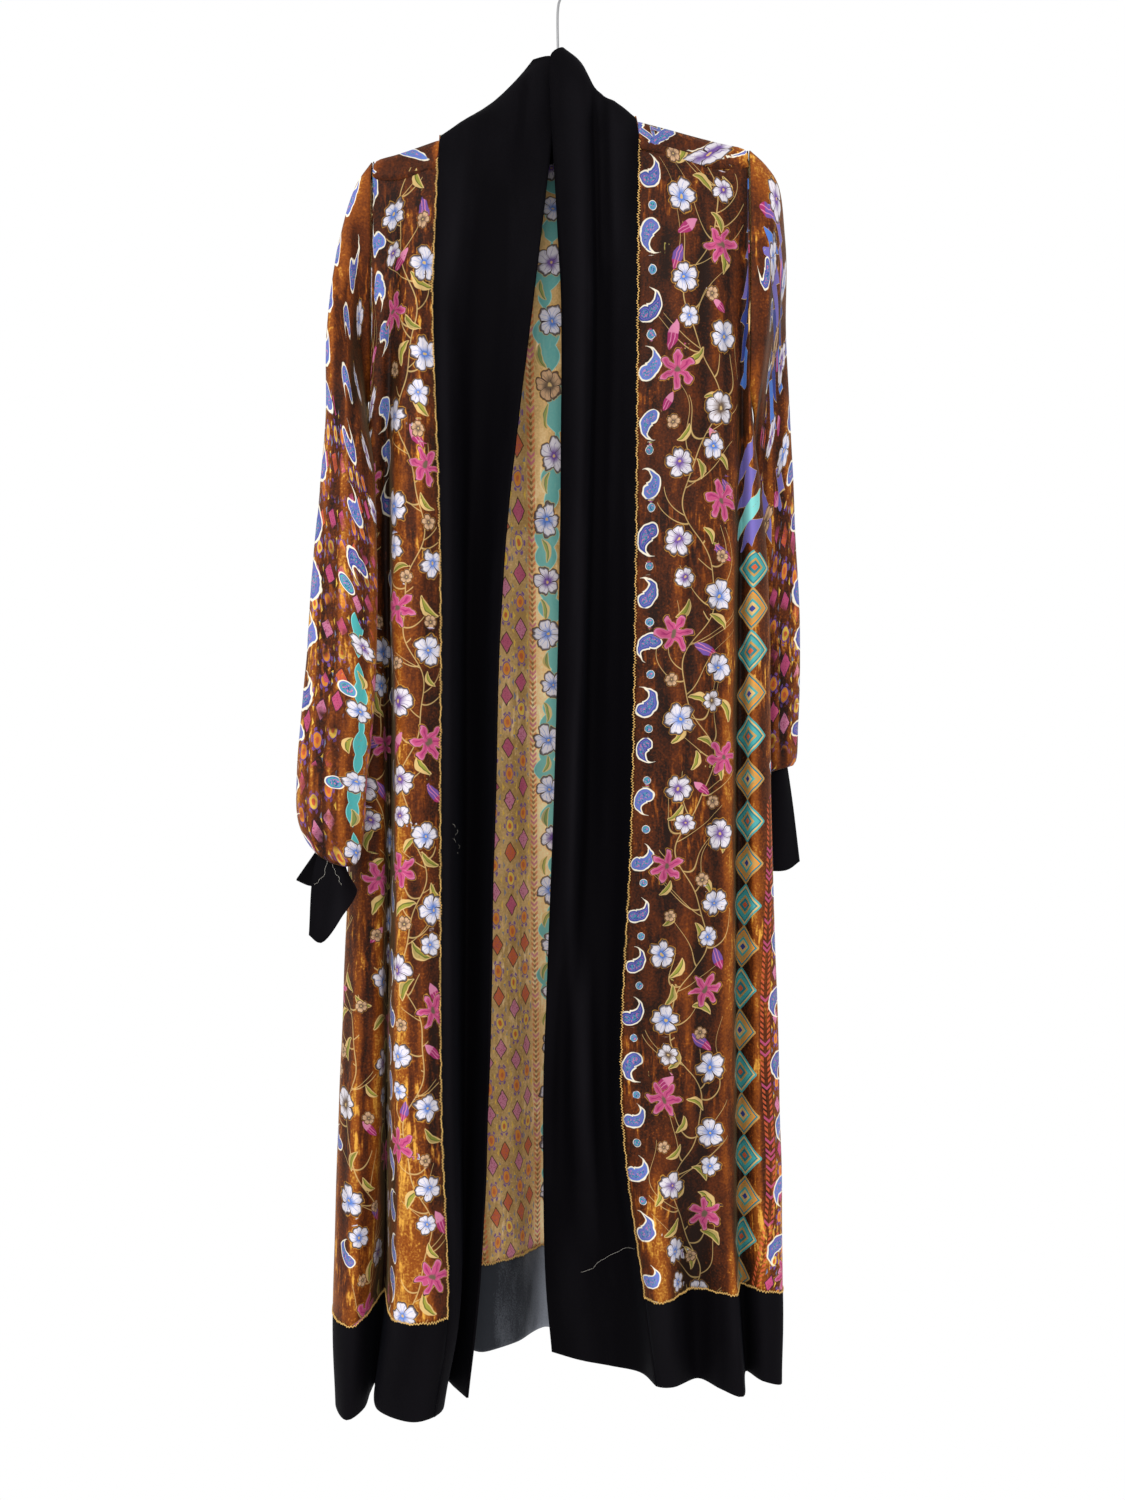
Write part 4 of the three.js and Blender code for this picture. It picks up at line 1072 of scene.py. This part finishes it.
def fold_light(grid, normals, moved, reach=5):
    """How far each place stands out from its neighbours, from minus one to one: it sets the painted light and
    shade on the folds.
    """
    columns = grid.shape[1]
    far = min(reach, (columns - 1) // 2)
    kernel = np.ones(2 * far + 1) / (2 * far + 1)
    padded = np.pad(grid, ((0, 0), (far, far), (0, 0)), mode="reflect", reflect_type="odd")
    smooth = np.stack(
        [np.apply_along_axis(np.convolve, 1, padded[..., a], kernel, "valid") for a in range(3)], axis=-1
    )
    stands = ((grid - smooth) * normals).sum(-1)
    return np.tanh(stands / 3.2 + moved / 4)


def mesh_of(name, grid, normals, closed, across, down, attributes):
    """An object of a sheet's places in millimetres, with its faces turned outward."""
    rows, columns = grid.shape[:2]
    index = np.arange(rows * columns).reshape(rows, columns)
    following = np.roll(index, -1, axis=1) if closed else index[:, 1:]
    current = index if closed else index[:, :-1]
    quads = np.stack([current[:-1], current[1:], following[1:], following[:-1]], axis=-1).reshape(-1, 4)
    places = grid.reshape(-1, 3)
    first = quads[len(quads) // 2]
    facing = np.cross(places[first[1]] - places[first[0]], places[first[3]] - places[first[0]])
    flip = facing @ normals.reshape(-1, 3)[first[0]] < 0
    if flip:
        quads = quads[:, ::-1]
    mesh = bpy.data.meshes.new(name)
    mesh.from_pydata((places * MM).tolist(), [], quads.tolist())
    span = np.arange(current.shape[1])
    left = np.stack([span, span, span + 1, span + 1], axis=-1)
    row = np.arange(rows - 1)
    corner_rows = np.stack([row, row + 1, row + 1, row], axis=-1)
    corner = (corner_rows[:, None, :], left[None, :, :])
    uv = np.stack([across[corner], down[corner]], axis=-1)
    if flip:
        uv = uv[:, :, ::-1]
    layer = mesh.uv_layers.new(name=UV_NAME)
    layer.data.foreach_set("uv", (uv * MM).ravel())
    for key, values in attributes.items():
        kind, field = ("FLOAT", "value") if values.ndim == 2 else ("FLOAT_VECTOR", "vector")
        mesh.attributes.new(key, kind, "POINT").data.foreach_set(field, values.ravel())
    mesh.polygons.foreach_set("use_smooth", [True] * len(mesh.polygons))
    obj = bpy.data.objects.new(name, mesh)
    bpy.context.collection.objects.link(obj)
    return obj


def cloth(
    name, grid, outward, wall, outer, inner, closed=False, creases=(), seen=None, origin=0,
    flowers=(), shapes=(), swell=0.5, seed=1, widen=1,
):
    """A cloth piece: a creased sheet with its print's places, thickened to a thin wall."""
    normals = outward_normals(grid, outward, closed)
    grid, moved = creased(grid, normals, creases, seen)
    grid = grid + normals * ripples(grid, seed, swell)[..., None]
    across, down = grid_lengths(grid, closed)
    period = across[:, -1] if closed else None
    across = across - across[:, origin][:, None]
    columns = grid.shape[1]
    attributes = {"fold": fold_light(grid, normals, moved)}
    for key, stamps in (("flower", flowers), ("shape", shapes)):
        if stamps:
            place, kind = stamped(across[:, :columns], down[:, :columns], stamps, period, widen)
            attributes[f"{key}_at"], attributes[f"{key}_is"] = place, kind
    obj = mesh_of(name, grid, normals, closed, across, down, attributes)
    obj.data.materials.append(outer)
    obj.data.materials.append(inner)
    solid = obj.modifiers.new("Wall", "SOLIDIFY")
    solid.thickness = wall * MM
    solid.offset = 0
    solid.material_offset = 1
    solid.use_even_offset = False
    return obj


def hung(obj, node):
    """Put a cloth piece in its CAD node's place: attach it to the root and hide the node."""
    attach(obj, "root")
    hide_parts(node)


# ---- creases: (x, z) at the top, middle and bottom, half width and depth; ridges are negative ----

FRONT_RIGHT_CREASES = (
    ((-132, -215), (-128, -300), (-122, -420), 4, 1.6),
    ((-158, -212), (-150, -330), (-153, -470), 5, 2.0),
    ((-140, -330), (-137, -450), (-131, -600), 4, 1.5),
    ((-166, -420), (-160, -560), (-157, -760), 4, 1.8),
    ((-118, -520), (-121, -690), (-117, -830), 4, 1.2),
    ((-151, -640), (-154, -800), (-150, -980), 5, 1.8),
    ((-135, -760), (-131, -930), (-133, -1120), 4, 1.5),
    ((-172, -830), (-177, -1000), (-181, -1180), 5, 2.2),
    ((-116, -940), (-113, -1060), (-112, -1210), 4, 1.3),
    ((-193, -930), (-196, -1080), (-197, -1260), 4, 1.6),
    ((-144, -1060), (-148, -1160), (-149, -1268), 4, 1.6),
    ((-160, -250), (-140, -262), (-118, -270), 3, 0.8),
    ((-126, -430), (-129, -520), (-127, -610), 4, -1.0),
    ((-166, -1010), (-168, -1120), (-171, -1260), 4, -1.3),
)
FRONT_LEFT_CREASES = (
    ((104, -205), (101, -330), (105, -480), 5, 1.2),
    ((140, -208), (136, -330), (140, -520), 6, 2.0),
    ((160, -215), (158, -360), (156, -560), 5, 1.9),
    ((88, -300), (86, -470), (90, -660), 4, 1.0),
    ((120, -440), (123, -600), (119, -800), 5, 1.5),
    ((150, -560), (146, -760), (149, -980), 5, 2.0),
    ((98, -620), (101, -800), (96, -1010), 5, 1.4),
    ((176, -640), (178, -830), (181, -1040), 4, 1.7),
    ((134, -830), (130, -980), (136, -1180), 5, 1.8),
    ((78, -800), (74, -960), (84, -1150), 4, 1.1),
    ((112, -980), (115, -1110), (120, -1262), 5, 1.6),
    ((160, -1000), (163, -1140), (166, -1268), 5, 2.0),
    ((192, -960), (195, -1110), (199, -1260), 4, 1.6),
    ((142, -1080), (145, -1170), (150, -1265), 4, -1.2),
    ((110, -520), (112, -640), (109, -770), 5, -1.0),
)
BACK_CREASES = (
    ((-60, -240), (-64, -480), (-78, -800), 7, 2.6),
    ((-30, -260), (-33, -520), (-41, -880), 7, 2.2),
    ((6, -230), (3, -470), (1, -760), 6, 2.4),
    ((44, -250), (47, -520), (52, -860), 7, 2.5),
    ((92, -260), (98, -500), (108, -820), 8, 2.4),
    ((-104, -270), (-112, -560), (-128, -900), 8, 2.8),
    ((-150, -480), (-158, -720), (-170, -1040), 7, 2.2),
    ((142, -460), (150, -720), (164, -1010), 7, 2.4),
    ((-70, -760), (-76, -980), (-84, -1230), 6, 2.2),
    ((22, -700), (24, -930), (27, -1200), 6, 2.3),
    ((70, -820), (76, -1010), (84, -1240), 6, 2.0),
    ((-16, -880), (-18, -1060), (-20, -1255), 6, 2.0),
)
BAND_RIGHT_CREASES = (
    ((-29, -108), (-33, -150), (-38, -195), 3, 1.4),
    ((-102, -300), (-97, -620), (-94, -960), 4, 1.1),
    ((-66, -420), (-74, -640), (-80, -880), 7, 1.5),
    ((-52, -230), (-58, -330), (-64, -450), 6, 1.0),
    ((-88, -720), (-92, -950), (-95, -1230), 5, -1.0),
    ((-80, -980), (-84, -1130), (-88, -1330), 5, 1.2),
)
BAND_LEFT_CREASES = (
    ((23, -112), (27, -330), (12, -740), 3, 2.2),
    ((28, -112), (32, -330), (17, -740), 2.4, -1.5),
    ((38, -120), (41, -190), (44, -330), 3, -1.8),
    ((51, -130), (53, -200), (56, -300), 3, -1.5),
    ((46, -300), (40, -560), (34, -860), 6, 1.3),
    ((60, -420), (56, -640), (52, -900), 5, 0.9),
    ((16, -760), (6, -960), (2, -1200), 5, 1.4),
    ((36, -900), (38, -1080), (48, -1310), 6, 1.4),
)
SLEEVE_RIGHT_CREASES = (
    ((-206, -300), (-200, -420), (-203, -560), 3, 1.6),
    ((-192, -260), (-186, -400), (-190, -560), 3, 1.6),
    ((-180, -460), (-178, -560), (-181, -700), 3, 1.4),
    ((-214, -520), (-212, -640), (-216, -780), 4, 2.0),
    ((-198, -600), (-199, -720), (-201, -850), 3, 2.0),
    ((-186, -690), (-187, -780), (-192, -862), 3, 1.8),
    ((-226, -660), (-224, -760), (-220, -850), 3, 1.8),
    ((-206, -740), (-208, -800), (-207, -858), 2.5, 1.8),
    ((-195, -470), (-193, -520), (-196, -600), 3, -1.2),
)
SLEEVE_LEFT_CREASES = (
    ((202, -260), (204, -380), (200, -520), 3, 1.6),
    ((215, -300), (217, -430), (214, -590), 3, 1.7),
    ((193, -420), (196, -540), (194, -660), 3, 1.4),
    ((208, -560), (211, -660), (209, -760), 3, 2.0),
    ((226, -520), (229, -630), (227, -745), 3, 1.8),
    ((199, -650), (201, -710), (205, -775), 2.5, 1.6),
    ((219, -660), (220, -710), (218, -775), 2.5, 1.8),
)

# Loose thread ends: the piece each lies on, and its places across and down.
LOOSE_THREADS = (
    ("right_band_cloth", ((-97, -828), (-94, -835), (-96, -843), (-93, -850), (-94, -857))),
    ("left_band_cloth", ((22, -1263), (31, -1260), (42, -1250), (56, -1241), (72, -1229))),
    ("right_cuff_cloth", ((-202, -848), (-206, -858), (-208, -870), (-214, -878), (-217, -880))),
    ("right_cuff_cloth", ((-206, -846), (-201, -856), (-200, -866), (-196, -873), (-193, -880))),
)

# ---- the print of each piece: its bands across, then its flowers and shapes ----

LEFT_BANDS = (
    ("vine", 20, 102), ("stripe", 112, 150, 0, 320), ("squares", 120, 160, 320, 1100),
    ("chain", 164, 174, 560, 1100), ("diamonds", 176, 200),
)
RIGHT_BANDS = (("vine", 2, 52), ("vine", 84, 132), ("vine", 140, 196))
RIGHT_SLEEVE_BANDS = (
    ("lozenges", 8, 62, 180, 400), ("diamonds", 12, 58, 400, 700), ("cloud", 66, 84, 330, 700),
    ("lozenges", 64, 116, 180, 330), ("diamonds", 86, 116, 330, 700),
)
LEFT_SLEEVE_BANDS = (
    ("diamonds", 4, 52, 260, 700), ("stripe", 30, 50, 20, 250), ("stripe", 58, 96, 20, 300),
    ("squares", 56, 84, 300, 700), ("chain", 88, 97, 300, 700), ("diamonds", 100, 140, 120, 700),
)
SHOULDER_BANDS = (("diamonds", -76, 76), ("chain", -88, -80), ("chain", 80, 88))
BACK_BANDS = (
    ("diamonds", -46, -16), ("diamonds", -78, -48), ("chain", -14, -6), ("cloud", -4, 26),
    ("chain", 28, 36), ("squares", 40, 66), ("diamonds", 70, 100), ("cloud", 104, 134),
    ("chain", -90, -82), ("cloud", -122, -92), ("squares", 138, 164), ("vine", -178, -126),
)

# A sleeve's shapes are this much wider when they are thinned out, all round the sleeve.
ROUND_SLEEVE = (SLEEVE_PRINT_WIDTH, SLEEVE_PERIMETER)

# Each print's seed and gaps, then its vines and its columns of flowers and of other shapes.
LEFT_FRONT_MARKS = (
    11, (3, 2), ((60, 27, -12, 1090), (222, 20, 0, 1090, 38)), (),
    (
        (12, 24, 1090, 49, 14.5, PAISLEY, 1.0), (14, 48.5, 1090, 49, 4.2, ROUNDEL),
        (184, 60, 1090, 58, 15, PAISLEY), (184, 88, 1090, 116, 15, ROUNDEL),
    ),
)
RIGHT_FRONT_MARKS = (
    23, (3, 2), ((27, 19, 8, 1090, 36), (108, 19, 20, 1090, 38), (168, 20, 0, 1090, 44)), (),
    ((66, 10, 1090, 36, 16, PAISLEY, 5), (196, 300, 1090, 92, 12, PAISLEY, 4)),
)
RIGHT_SLEEVE_MARKS = (
    41, (4, 2), (), ((74, 350, 700, 66, 11, FLOWER, 5), (131, 20, 700, 58, 12, FLOWER, 4)),
    (
        (2, 24, 700, 44, 18, PAISLEY, 3), (36, 20, 210, 47, 17, PAISLEY, 4),
        (74, 30, 320, 50, 16, PAISLEY, 4), (108, 20, 330, 60, 11, PAISLEY, 4),
        (70, 384, 700, 66, 8, LEAF, 6), (55, 40, 700, 90, 7, ROUNDEL, 5),
    ),
    ROUND_SLEEVE,
)
LEFT_SLEEVE_MARKS = (
    43, (4, 2), (), ((24, 30, 250, 62, 13, FLOWER, 6), (77, 40, 300, 66, 14, FLOWER, 5)),
    (
        (48, 20, 250, 55, 10, BUD, 8), (104, 20, 120, 40, 13, PAISLEY, 5),
        (0, 24, 700, 44, 15, PAISLEY, 4), (128, 300, 700, 46, 12, ROUNDEL, 4),
    ),
    ROUND_SLEEVE,
)
BACK_MARKS = (
    37, (4, 3), (),
    [(centre, 8, 1100, 52, 16, FLOWER, 5) for centre in (10, 200, -215)]
    + [(centre, 90, 1100, 52, 16, FLOWER, 5) for centre in (-108, 119)],
    [(3, 34, 1100, 52, 10, LEAF, 3)]
    + [(centre, 14, 1100, 37, 13, PAISLEY, 5) for centre in (-190, -138, -96, 112, 150, 180, 222, -250)],
)

# ---- the pieces, each with its flat size in metres and its area in square metres at the end ----

FRONT_PANELS = {
    "left": (LEFT_BANDS, LEFT_FRONT_MARKS, FRONT_LEFT_CREASES, 2, (0.2, 1.09), 0.189),
    "right": (RIGHT_BANDS, RIGHT_FRONT_MARKS, FRONT_RIGHT_CREASES, 3, (0.19, 1.08), 0.174),
}
SLEEVES = {
    "right": (RIGHT_SLEEVE_BANDS, RIGHT_SLEEVE_MARKS, SLEEVE_RIGHT_CREASES, 5, (0.155, 0.66), 0.1),
    "left": (LEFT_SLEEVE_BANDS, LEFT_SLEEVE_MARKS, SLEEVE_LEFT_CREASES, 6, (0.15, 0.58), 0.085),
}
FRONT_BANDS = {
    "right": (BAND_RIGHT_CREASES, (0.12, 1.27), 0.146),
    "left": (BAND_LEFT_CREASES, (0.11, 1.28), 0.133),
}
HEMS = {"right": ((0.28, 0.09), 0.025), "left": ((0.235, 0.09), 0.021), "back": ((0.625, 0.09), 0.056)}
CUFFS = {"right": ((0.1, 0.07), 0.0066), "left": ((0.11, 0.12), 0.012)}

# ---- settings ----


class KimonoCloth(bpy.types.PropertyGroup):
    """Sizes of the cloth."""

    spacing: FloatProperty(
        name="Spacing", description="Distance between a sheet's places", default=0.0036, min=0.002,
        unit="LENGTH", precision=4,
    )
    print_wall: FloatProperty(
        name="Printed velvet", description="Thickness of the printed velvet", default=0.0012, unit="LENGTH",
    )
    band_wall: FloatProperty(
        name="Bands", description="Thickness of the doubled front bands and cuffs", default=0.002,
        unit="LENGTH",
    )
    hem_wall: FloatProperty(
        name="Hem", description="Thickness of the hem band", default=0.0016, unit="LENGTH",
    )


class KimonoColours(bpy.types.PropertyGroup):
    """Colours of the plain parts."""

    velvet: FloatVectorProperty(
        name="Plain velvet", description="Colour of the bands, hem and cuffs", subtype="COLOR", size=3,
        default=(0.0016, 0.0013, 0.002), min=0, max=1,
    )
    # The thread's bright gold is partly the real thread colour and partly a painted glint along the raw
    # edges.
    thread: FloatVectorProperty(
        name="Thread", description="Colour of the overlocked seams", subtype="COLOR", size=3,
        default=(0.95, 0.58, 0.18), min=0, max=1,
    )


class KimonoStage(bpy.types.PropertyGroup):
    """Light and surroundings."""

    key: FloatProperty(
        name="Key light", description="Power of the large front light", default=26.0, unit="POWER",
    )
    around: FloatProperty(
        name="Surroundings", description="Brightness of the white surroundings", default=1.0,
    )


def plain_finishes(colours):
    """The plain velvet, and the smooth grey reverse that shows inside the hem."""
    dark = (*colours.velvet, 1)
    light = (*[c * 2.2 + 0.002 for c in colours.velvet], 1)
    front = plain_material("plain_velvet", dark, light, 0.008, (0.62, 0.66, 0.9, 1))
    reverse_tones = colour("2a2c31"), colour("969aa3")
    back = plain_material("velvet_reverse", *reverse_tones, 0.25, (0.8, 0.83, 0.9, 1), 1.0)
    return front, back


def thread_material(name, tone):
    """Glossy sewing thread."""
    shader = Shader(name)
    twist = shader.noise(1500, 2.0)
    light = shader.mix(twist, (*[c * 0.55 for c in tone], 1), (*tone, 1))
    return shader.cloth(light, 0.45, 0.1, (*tone, 1), 0.4, twist, 0.3, 0.0002)


def millimetres(settings, *names):
    """Some of the settings' lengths in millimetres."""
    return [getattr(settings, name) * PER_METRE for name in names]


# ---- operators ----


class KIMONO_OT_panels(bpy.types.Operator):
    """Make the printed back and fronts"""

    bl_idname = "kimono.panels"
    bl_label = "Panels"

    def execute(self, context):
        step, wall = millimetres(context.scene.kimono_cloth, "spacing", "print_wall")
        reverse = print_material("print_reverse", BACK_BANDS, True, False)
        for side, (bands, layout, creases, seed, flat, area) in FRONT_PANELS.items():
            flowers, shapes = marks(*layout)
            panel = cloth(
                f"{side}_front_cloth", front_sheet(side, START_STEP, SEAM_STEP, step), FRONT, wall,
                print_material(f"print_{side}_front", bands), reverse,
                creases=creases, flowers=flowers, shapes=shapes, seed=seed,
            )
            hung(panel, f"front_panel_{side}")
        flowers, shapes = marks(*BACK_MARKS)
        sheet = back_sheet(START_STEP - TOP_TUCK, SEAM_STEP, step * BACK_SPACING)
        back = cloth(
            "back_cloth", sheet, BEHIND, wall, print_material("print_back", SHOULDER_BANDS),
            print_material("print_back_reverse", BACK_BANDS, True), creases=BACK_CREASES,
            origin=np.abs(sheet[-1, :, 0] - BACK_MIDDLE_X).argmin(), flowers=flowers, shapes=shapes, seed=4,
        )
        hung(back, "back_panel")
        return {"FINISHED"}


class KIMONO_OT_sleeves(bpy.types.Operator):
    """Make the printed sleeves"""

    bl_idname = "kimono.sleeves"
    bl_label = "Sleeves"

    def execute(self, context):
        step, wall = millimetres(context.scene.kimono_cloth, "spacing", "print_wall")
        inner = bpy.data.materials["print_reverse"]
        for side, (bands, layout, creases, seed, flat, area) in SLEEVES.items():
            flowers, shapes = marks(*layout)
            sleeve = cloth(
                f"{side}_sleeve_cloth", sleeve_sheet(side, step), None, wall,
                print_material(f"print_{side}_sleeve", bands, crushed=True), inner, True, creases,
                flowers=flowers, shapes=shapes, seed=seed, widen=SLEEVE_PRINT_WIDTH,
            )
            hung(sleeve, f"sleeve_{side}")
        return {"FINISHED"}


class KIMONO_OT_bands(bpy.types.Operator):
    """Make the plain velvet bands, hem and cuffs"""

    bl_idname = "kimono.bands"
    bl_label = "Bands, hem and cuffs"

    def execute(self, context):
        step, band_wall, hem_wall = millimetres(
            context.scene.kimono_cloth, "spacing", "band_wall", "hem_wall",
        )
        velvet, grey = plain_finishes(context.scene.kimono_colours)
        for side, (creases, flat, area) in FRONT_BANDS.items():
            name = f"{side}_band_cloth"
            band = cloth(
                name, whole_sheet(BANDS[side], step), FRONT, band_wall, velvet, velvet, creases=creases,
                seen=FRONT, swell=0.3, seed=len(name),
            )
            hung(band, f"front_band_{side}")
        for side, (flat, area) in HEMS.items():
            name = f"{side}_hem_cloth"
            if side == "back":
                sheet, outward, above = back_sheet(SEAM_STEP, HEM_STEP, step), BEHIND, "back_panel"
            else:
                sheet, outward = front_sheet(side, SEAM_STEP, HEM_STEP, step), FRONT
                above = f"front_panel_{side}"
            hem = cloth(name, sheet, outward, hem_wall, velvet, grey, swell=0.3, seed=len(name))
            hung(hem, f"hem_band_{side}")
        for side, (flat, area) in CUFFS.items():
            name = f"{side}_cuff_cloth"
            sheet = whole_sheet(turned(np.array(CUFF_FOLDS[side], float)), CUFF_SPACING)
            cuff = cloth(name, sheet, None, band_wall, velvet, velvet, swell=0.2, seed=len(name))
            hung(cuff, f"cuff_{side}")
        return {"FINISHED"}


def thread(name, places, radius, finish):
    """A round thread through places in millimetres, made as a curve and turned into a mesh."""
    curve = bpy.data.curves.new(name, "CURVE")
    curve.dimensions = "3D"
    curve.bevel_depth, curve.bevel_resolution = radius * MM, 1
    line = curve.splines.new("POLY")
    line.points.add(len(places) - 1)
    line.points.foreach_set("co", np.column_stack([places * MM, np.ones(len(places))]).ravel())
    curve.use_fill_caps = True
    obj = bpy.data.objects.new(name, curve)
    bpy.context.collection.objects.link(obj)
    obj.data.materials.append(finish)
    bpy.ops.object.select_all(action="DESELECT")
    obj.select_set(True)
    bpy.context.view_layer.objects.active = obj
    bpy.ops.object.convert(target="MESH")
    made = bpy.context.object
    made.name = name
    bpy.ops.object.shade_smooth()
    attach(made, "root")
    return made


def laid(obj, places, lift):
    """Places across and down, brought to just in front of a piece, with a small wave."""
    placed = np.array(places)
    for index, (x, _, z) in enumerate(places):
        hit, where, _, _ = obj.ray_cast((x * MM, -0.5, z * MM), (0, 1, 0))
        if not hit:
            raise RuntimeError(f"a loose thread misses {obj.name}")
        wave = 0.7 * math.sin(index * 0.9)
        placed[index] = (x + wave, where[1] / MM - lift - abs(wave), z)
    return placed


def overlock(line, normals, away, reach=STITCH_REACH, lift=STITCH_LIFT):
    """A zigzag of stitches along an edge: away points across the edge, over the cloth."""
    gaps = np.linalg.norm(np.diff(line, axis=0), axis=1)
    length = np.concatenate([[0], np.cumsum(gaps)])
    at = np.arange(0, length[-1], STITCH_PITCH / 2)
    place, normal, inward = [
        np.stack([np.interp(at, length, part[:, i]) for i in range(3)], axis=1)
        for part in (line, normals, away)
    ]
    swing = np.where(np.arange(len(at)) % 2, reach, -reach * 0.3)[:, None]
    wander = (0.5 * np.sin(at * 0.31) + 0.35 * np.sin(at * 0.83) + 0.25 * np.sin(at * 2.3))[:, None]
    return place + normal * lift + inward * (swing + wander)


def sheet_edge(sheet, outward, side):
    """An edge's places, the sheet's normals there and the way in from the edge."""
    normals = outward_normals(sheet, outward)
    if side == "left":
        near, next_to, normal = sheet[:, 0], sheet[:, 1], normals[:, 0]
    else:
        near, next_to, normal = sheet[-1], sheet[-2], normals[-1]
    away = next_to - near
    return near, normal, away / np.linalg.norm(away, axis=1, keepdims=True)


class KIMONO_OT_stitching(bpy.types.Operator):
    """Make the overlocked seams and the loose thread ends"""

    bl_idname = "kimono.stitching"
    bl_label = "Stitching"

    def execute(self, context):
        step = context.scene.kimono_cloth.spacing * PER_METRE
        # The seams are real overlock stitching; their bright gold also stands in for a painted glint along
        # the cloth's raw edge.
        gold = thread_material("gold_thread_edge_glint", context.scene.kimono_colours.thread)
        pale = thread_material("pale_thread", (0.6, 0.57, 0.5))
        for side in ("right", "left"):
            sheet = front_sheet(side, START_STEP, SEAM_STEP, step)
            edge = overlock(*sheet_edge(sheet, FRONT, "left"))
            thread(f"{side}_band_seam", edge, BAND_SEAM_RADIUS, gold)
            edge = overlock(*sheet_edge(sheet, FRONT, "bottom"))
            thread(f"{side}_hem_seam", edge, HEM_SEAM_RADIUS, gold)
        sheet = back_sheet(START_STEP, SEAM_STEP, step * BACK_SPACING)
        edge = overlock(*sheet_edge(sheet, FRONT, "bottom"), BACK_STITCH_REACH, BACK_STITCH_LIFT)
        thread("back_hem_seam", edge, BACK_SEAM_RADIUS, gold)
        for index, (name, ends) in enumerate(LOOSE_THREADS):
            knots = np.array([(x, 0, z) for x, z in ends], float)[:, None]
            places = along(knots, np.linspace(0, len(knots) - 1, LOOSE_THREAD_PLACES))[:, 0]
            placed = laid(bpy.data.objects[name], places, LOOSE_THREAD_LIFT)
            thread(f"loose_thread_{index}", placed, LOOSE_THREAD_RADIUS, pale)
        return {"FINISHED"}


class KIMONO_OT_hanger(bpy.types.Operator):
    """Finish the hanger and its hook"""

    bl_idname = "kimono.hanger"
    bl_label = "Hanger"

    def execute(self, context):
        for node, name, code, metal, rough in (
            ("hanger_body", "hanger_plastic", "1a1a1c", 0.0, 0.45),
            ("hanger_hook", "hook_wire", "9a9a9c", 1.0, 0.3),
        ):
            shader = Shader(name)
            grain = shader.noise(600, 2.0)
            roughness = grain * 0.1 + rough
            shader.surface(grain, 0.08, 0.0002, Base_Color=colour(code), Metallic=metal, Roughness=roughness)
            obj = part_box(node) and bpy.data.objects[node]
            obj.data.materials.clear()
            obj.data.materials.append(shader.material)
        return {"FINISHED"}


class KIMONO_OT_stage(bpy.types.Operator):
    """Set up the white surroundings, the lights and the camera"""

    bl_idname = "kimono.stage"
    bl_label = "Stage"

    def execute(self, context):
        settings = context.scene.kimono_stage
        world = bpy.data.worlds.new("white_surroundings")
        world.use_nodes = True
        sky = world.node_tree.nodes["Background"]
        sky.inputs["Color"].default_value = (1, 1, 1, 1)
        sky.inputs["Strength"].default_value = settings.around
        context.scene.world = world
        context.scene.view_settings.view_transform = "Standard"
        bpy.ops.object.select_all(action="DESELECT")
        turn = (math.radians(KEY_TILT), 0, math.radians(KEY_TURN))
        bpy.ops.object.light_add(type="AREA", location=KEY_PLACE, rotation=turn)
        key = context.object
        key.name, key.data.shape = "key_light", "RECTANGLE"
        key.data.size, key.data.size_y = KEY_SIZE
        key.data.energy = settings.key
        camera_data = bpy.data.cameras.new("camera")
        camera = bpy.data.objects.new("camera", camera_data)
        context.collection.objects.link(camera)
        camera.location = CAMERA_PLACE
        camera.rotation_euler = (math.radians(90), 0, 0)
        camera_data.lens, camera_data.sensor_width = CAMERA_LENS, CAMERA_SENSOR
        camera_data.sensor_fit = "AUTO"
        context.scene.camera = camera
        return {"FINISHED"}


class KIMONO_PT_sidebar(bpy.types.Panel):
    """The kimono's settings and its pieces"""

    bl_label = "Velvet Kimono"
    bl_idname = "KIMONO_PT_sidebar"
    bl_space_type = "VIEW_3D"
    bl_region_type = "UI"
    bl_category = "Kimono"

    def draw(self, context):
        scene = context.scene
        for settings in (scene.kimono_cloth, scene.kimono_colours, scene.kimono_stage):
            box = self.layout.box()
            for name in settings.__annotations__:
                box.prop(settings, name)
        for operator in OPERATORS:
            self.layout.operator(operator.bl_idname)


OPERATORS = (
    KIMONO_OT_panels, KIMONO_OT_sleeves, KIMONO_OT_bands, KIMONO_OT_stitching, KIMONO_OT_hanger,
    KIMONO_OT_stage,
)
CLASSES = (KimonoCloth, KimonoColours, KimonoStage, *OPERATORS, KIMONO_PT_sidebar)


def register():
    for cls in CLASSES:
        bpy.utils.register_class(cls)
    bpy.types.Scene.kimono_cloth = PointerProperty(type=KimonoCloth)
    bpy.types.Scene.kimono_colours = PointerProperty(type=KimonoColours)
    bpy.types.Scene.kimono_stage = PointerProperty(type=KimonoStage)


def unregister():
    del bpy.types.Scene.kimono_stage
    del bpy.types.Scene.kimono_colours
    del bpy.types.Scene.kimono_cloth
    for cls in reversed(CLASSES):
        bpy.utils.unregister_class(cls)


def main():
    register()
    bpy.ops.kimono.panels()
    bpy.ops.kimono.sleeves()
    bpy.ops.kimono.bands()
    bpy.ops.kimono.stitching()
    bpy.ops.kimono.hanger()
    bpy.ops.kimono.stage()


if __name__ == "__main__":
    main()
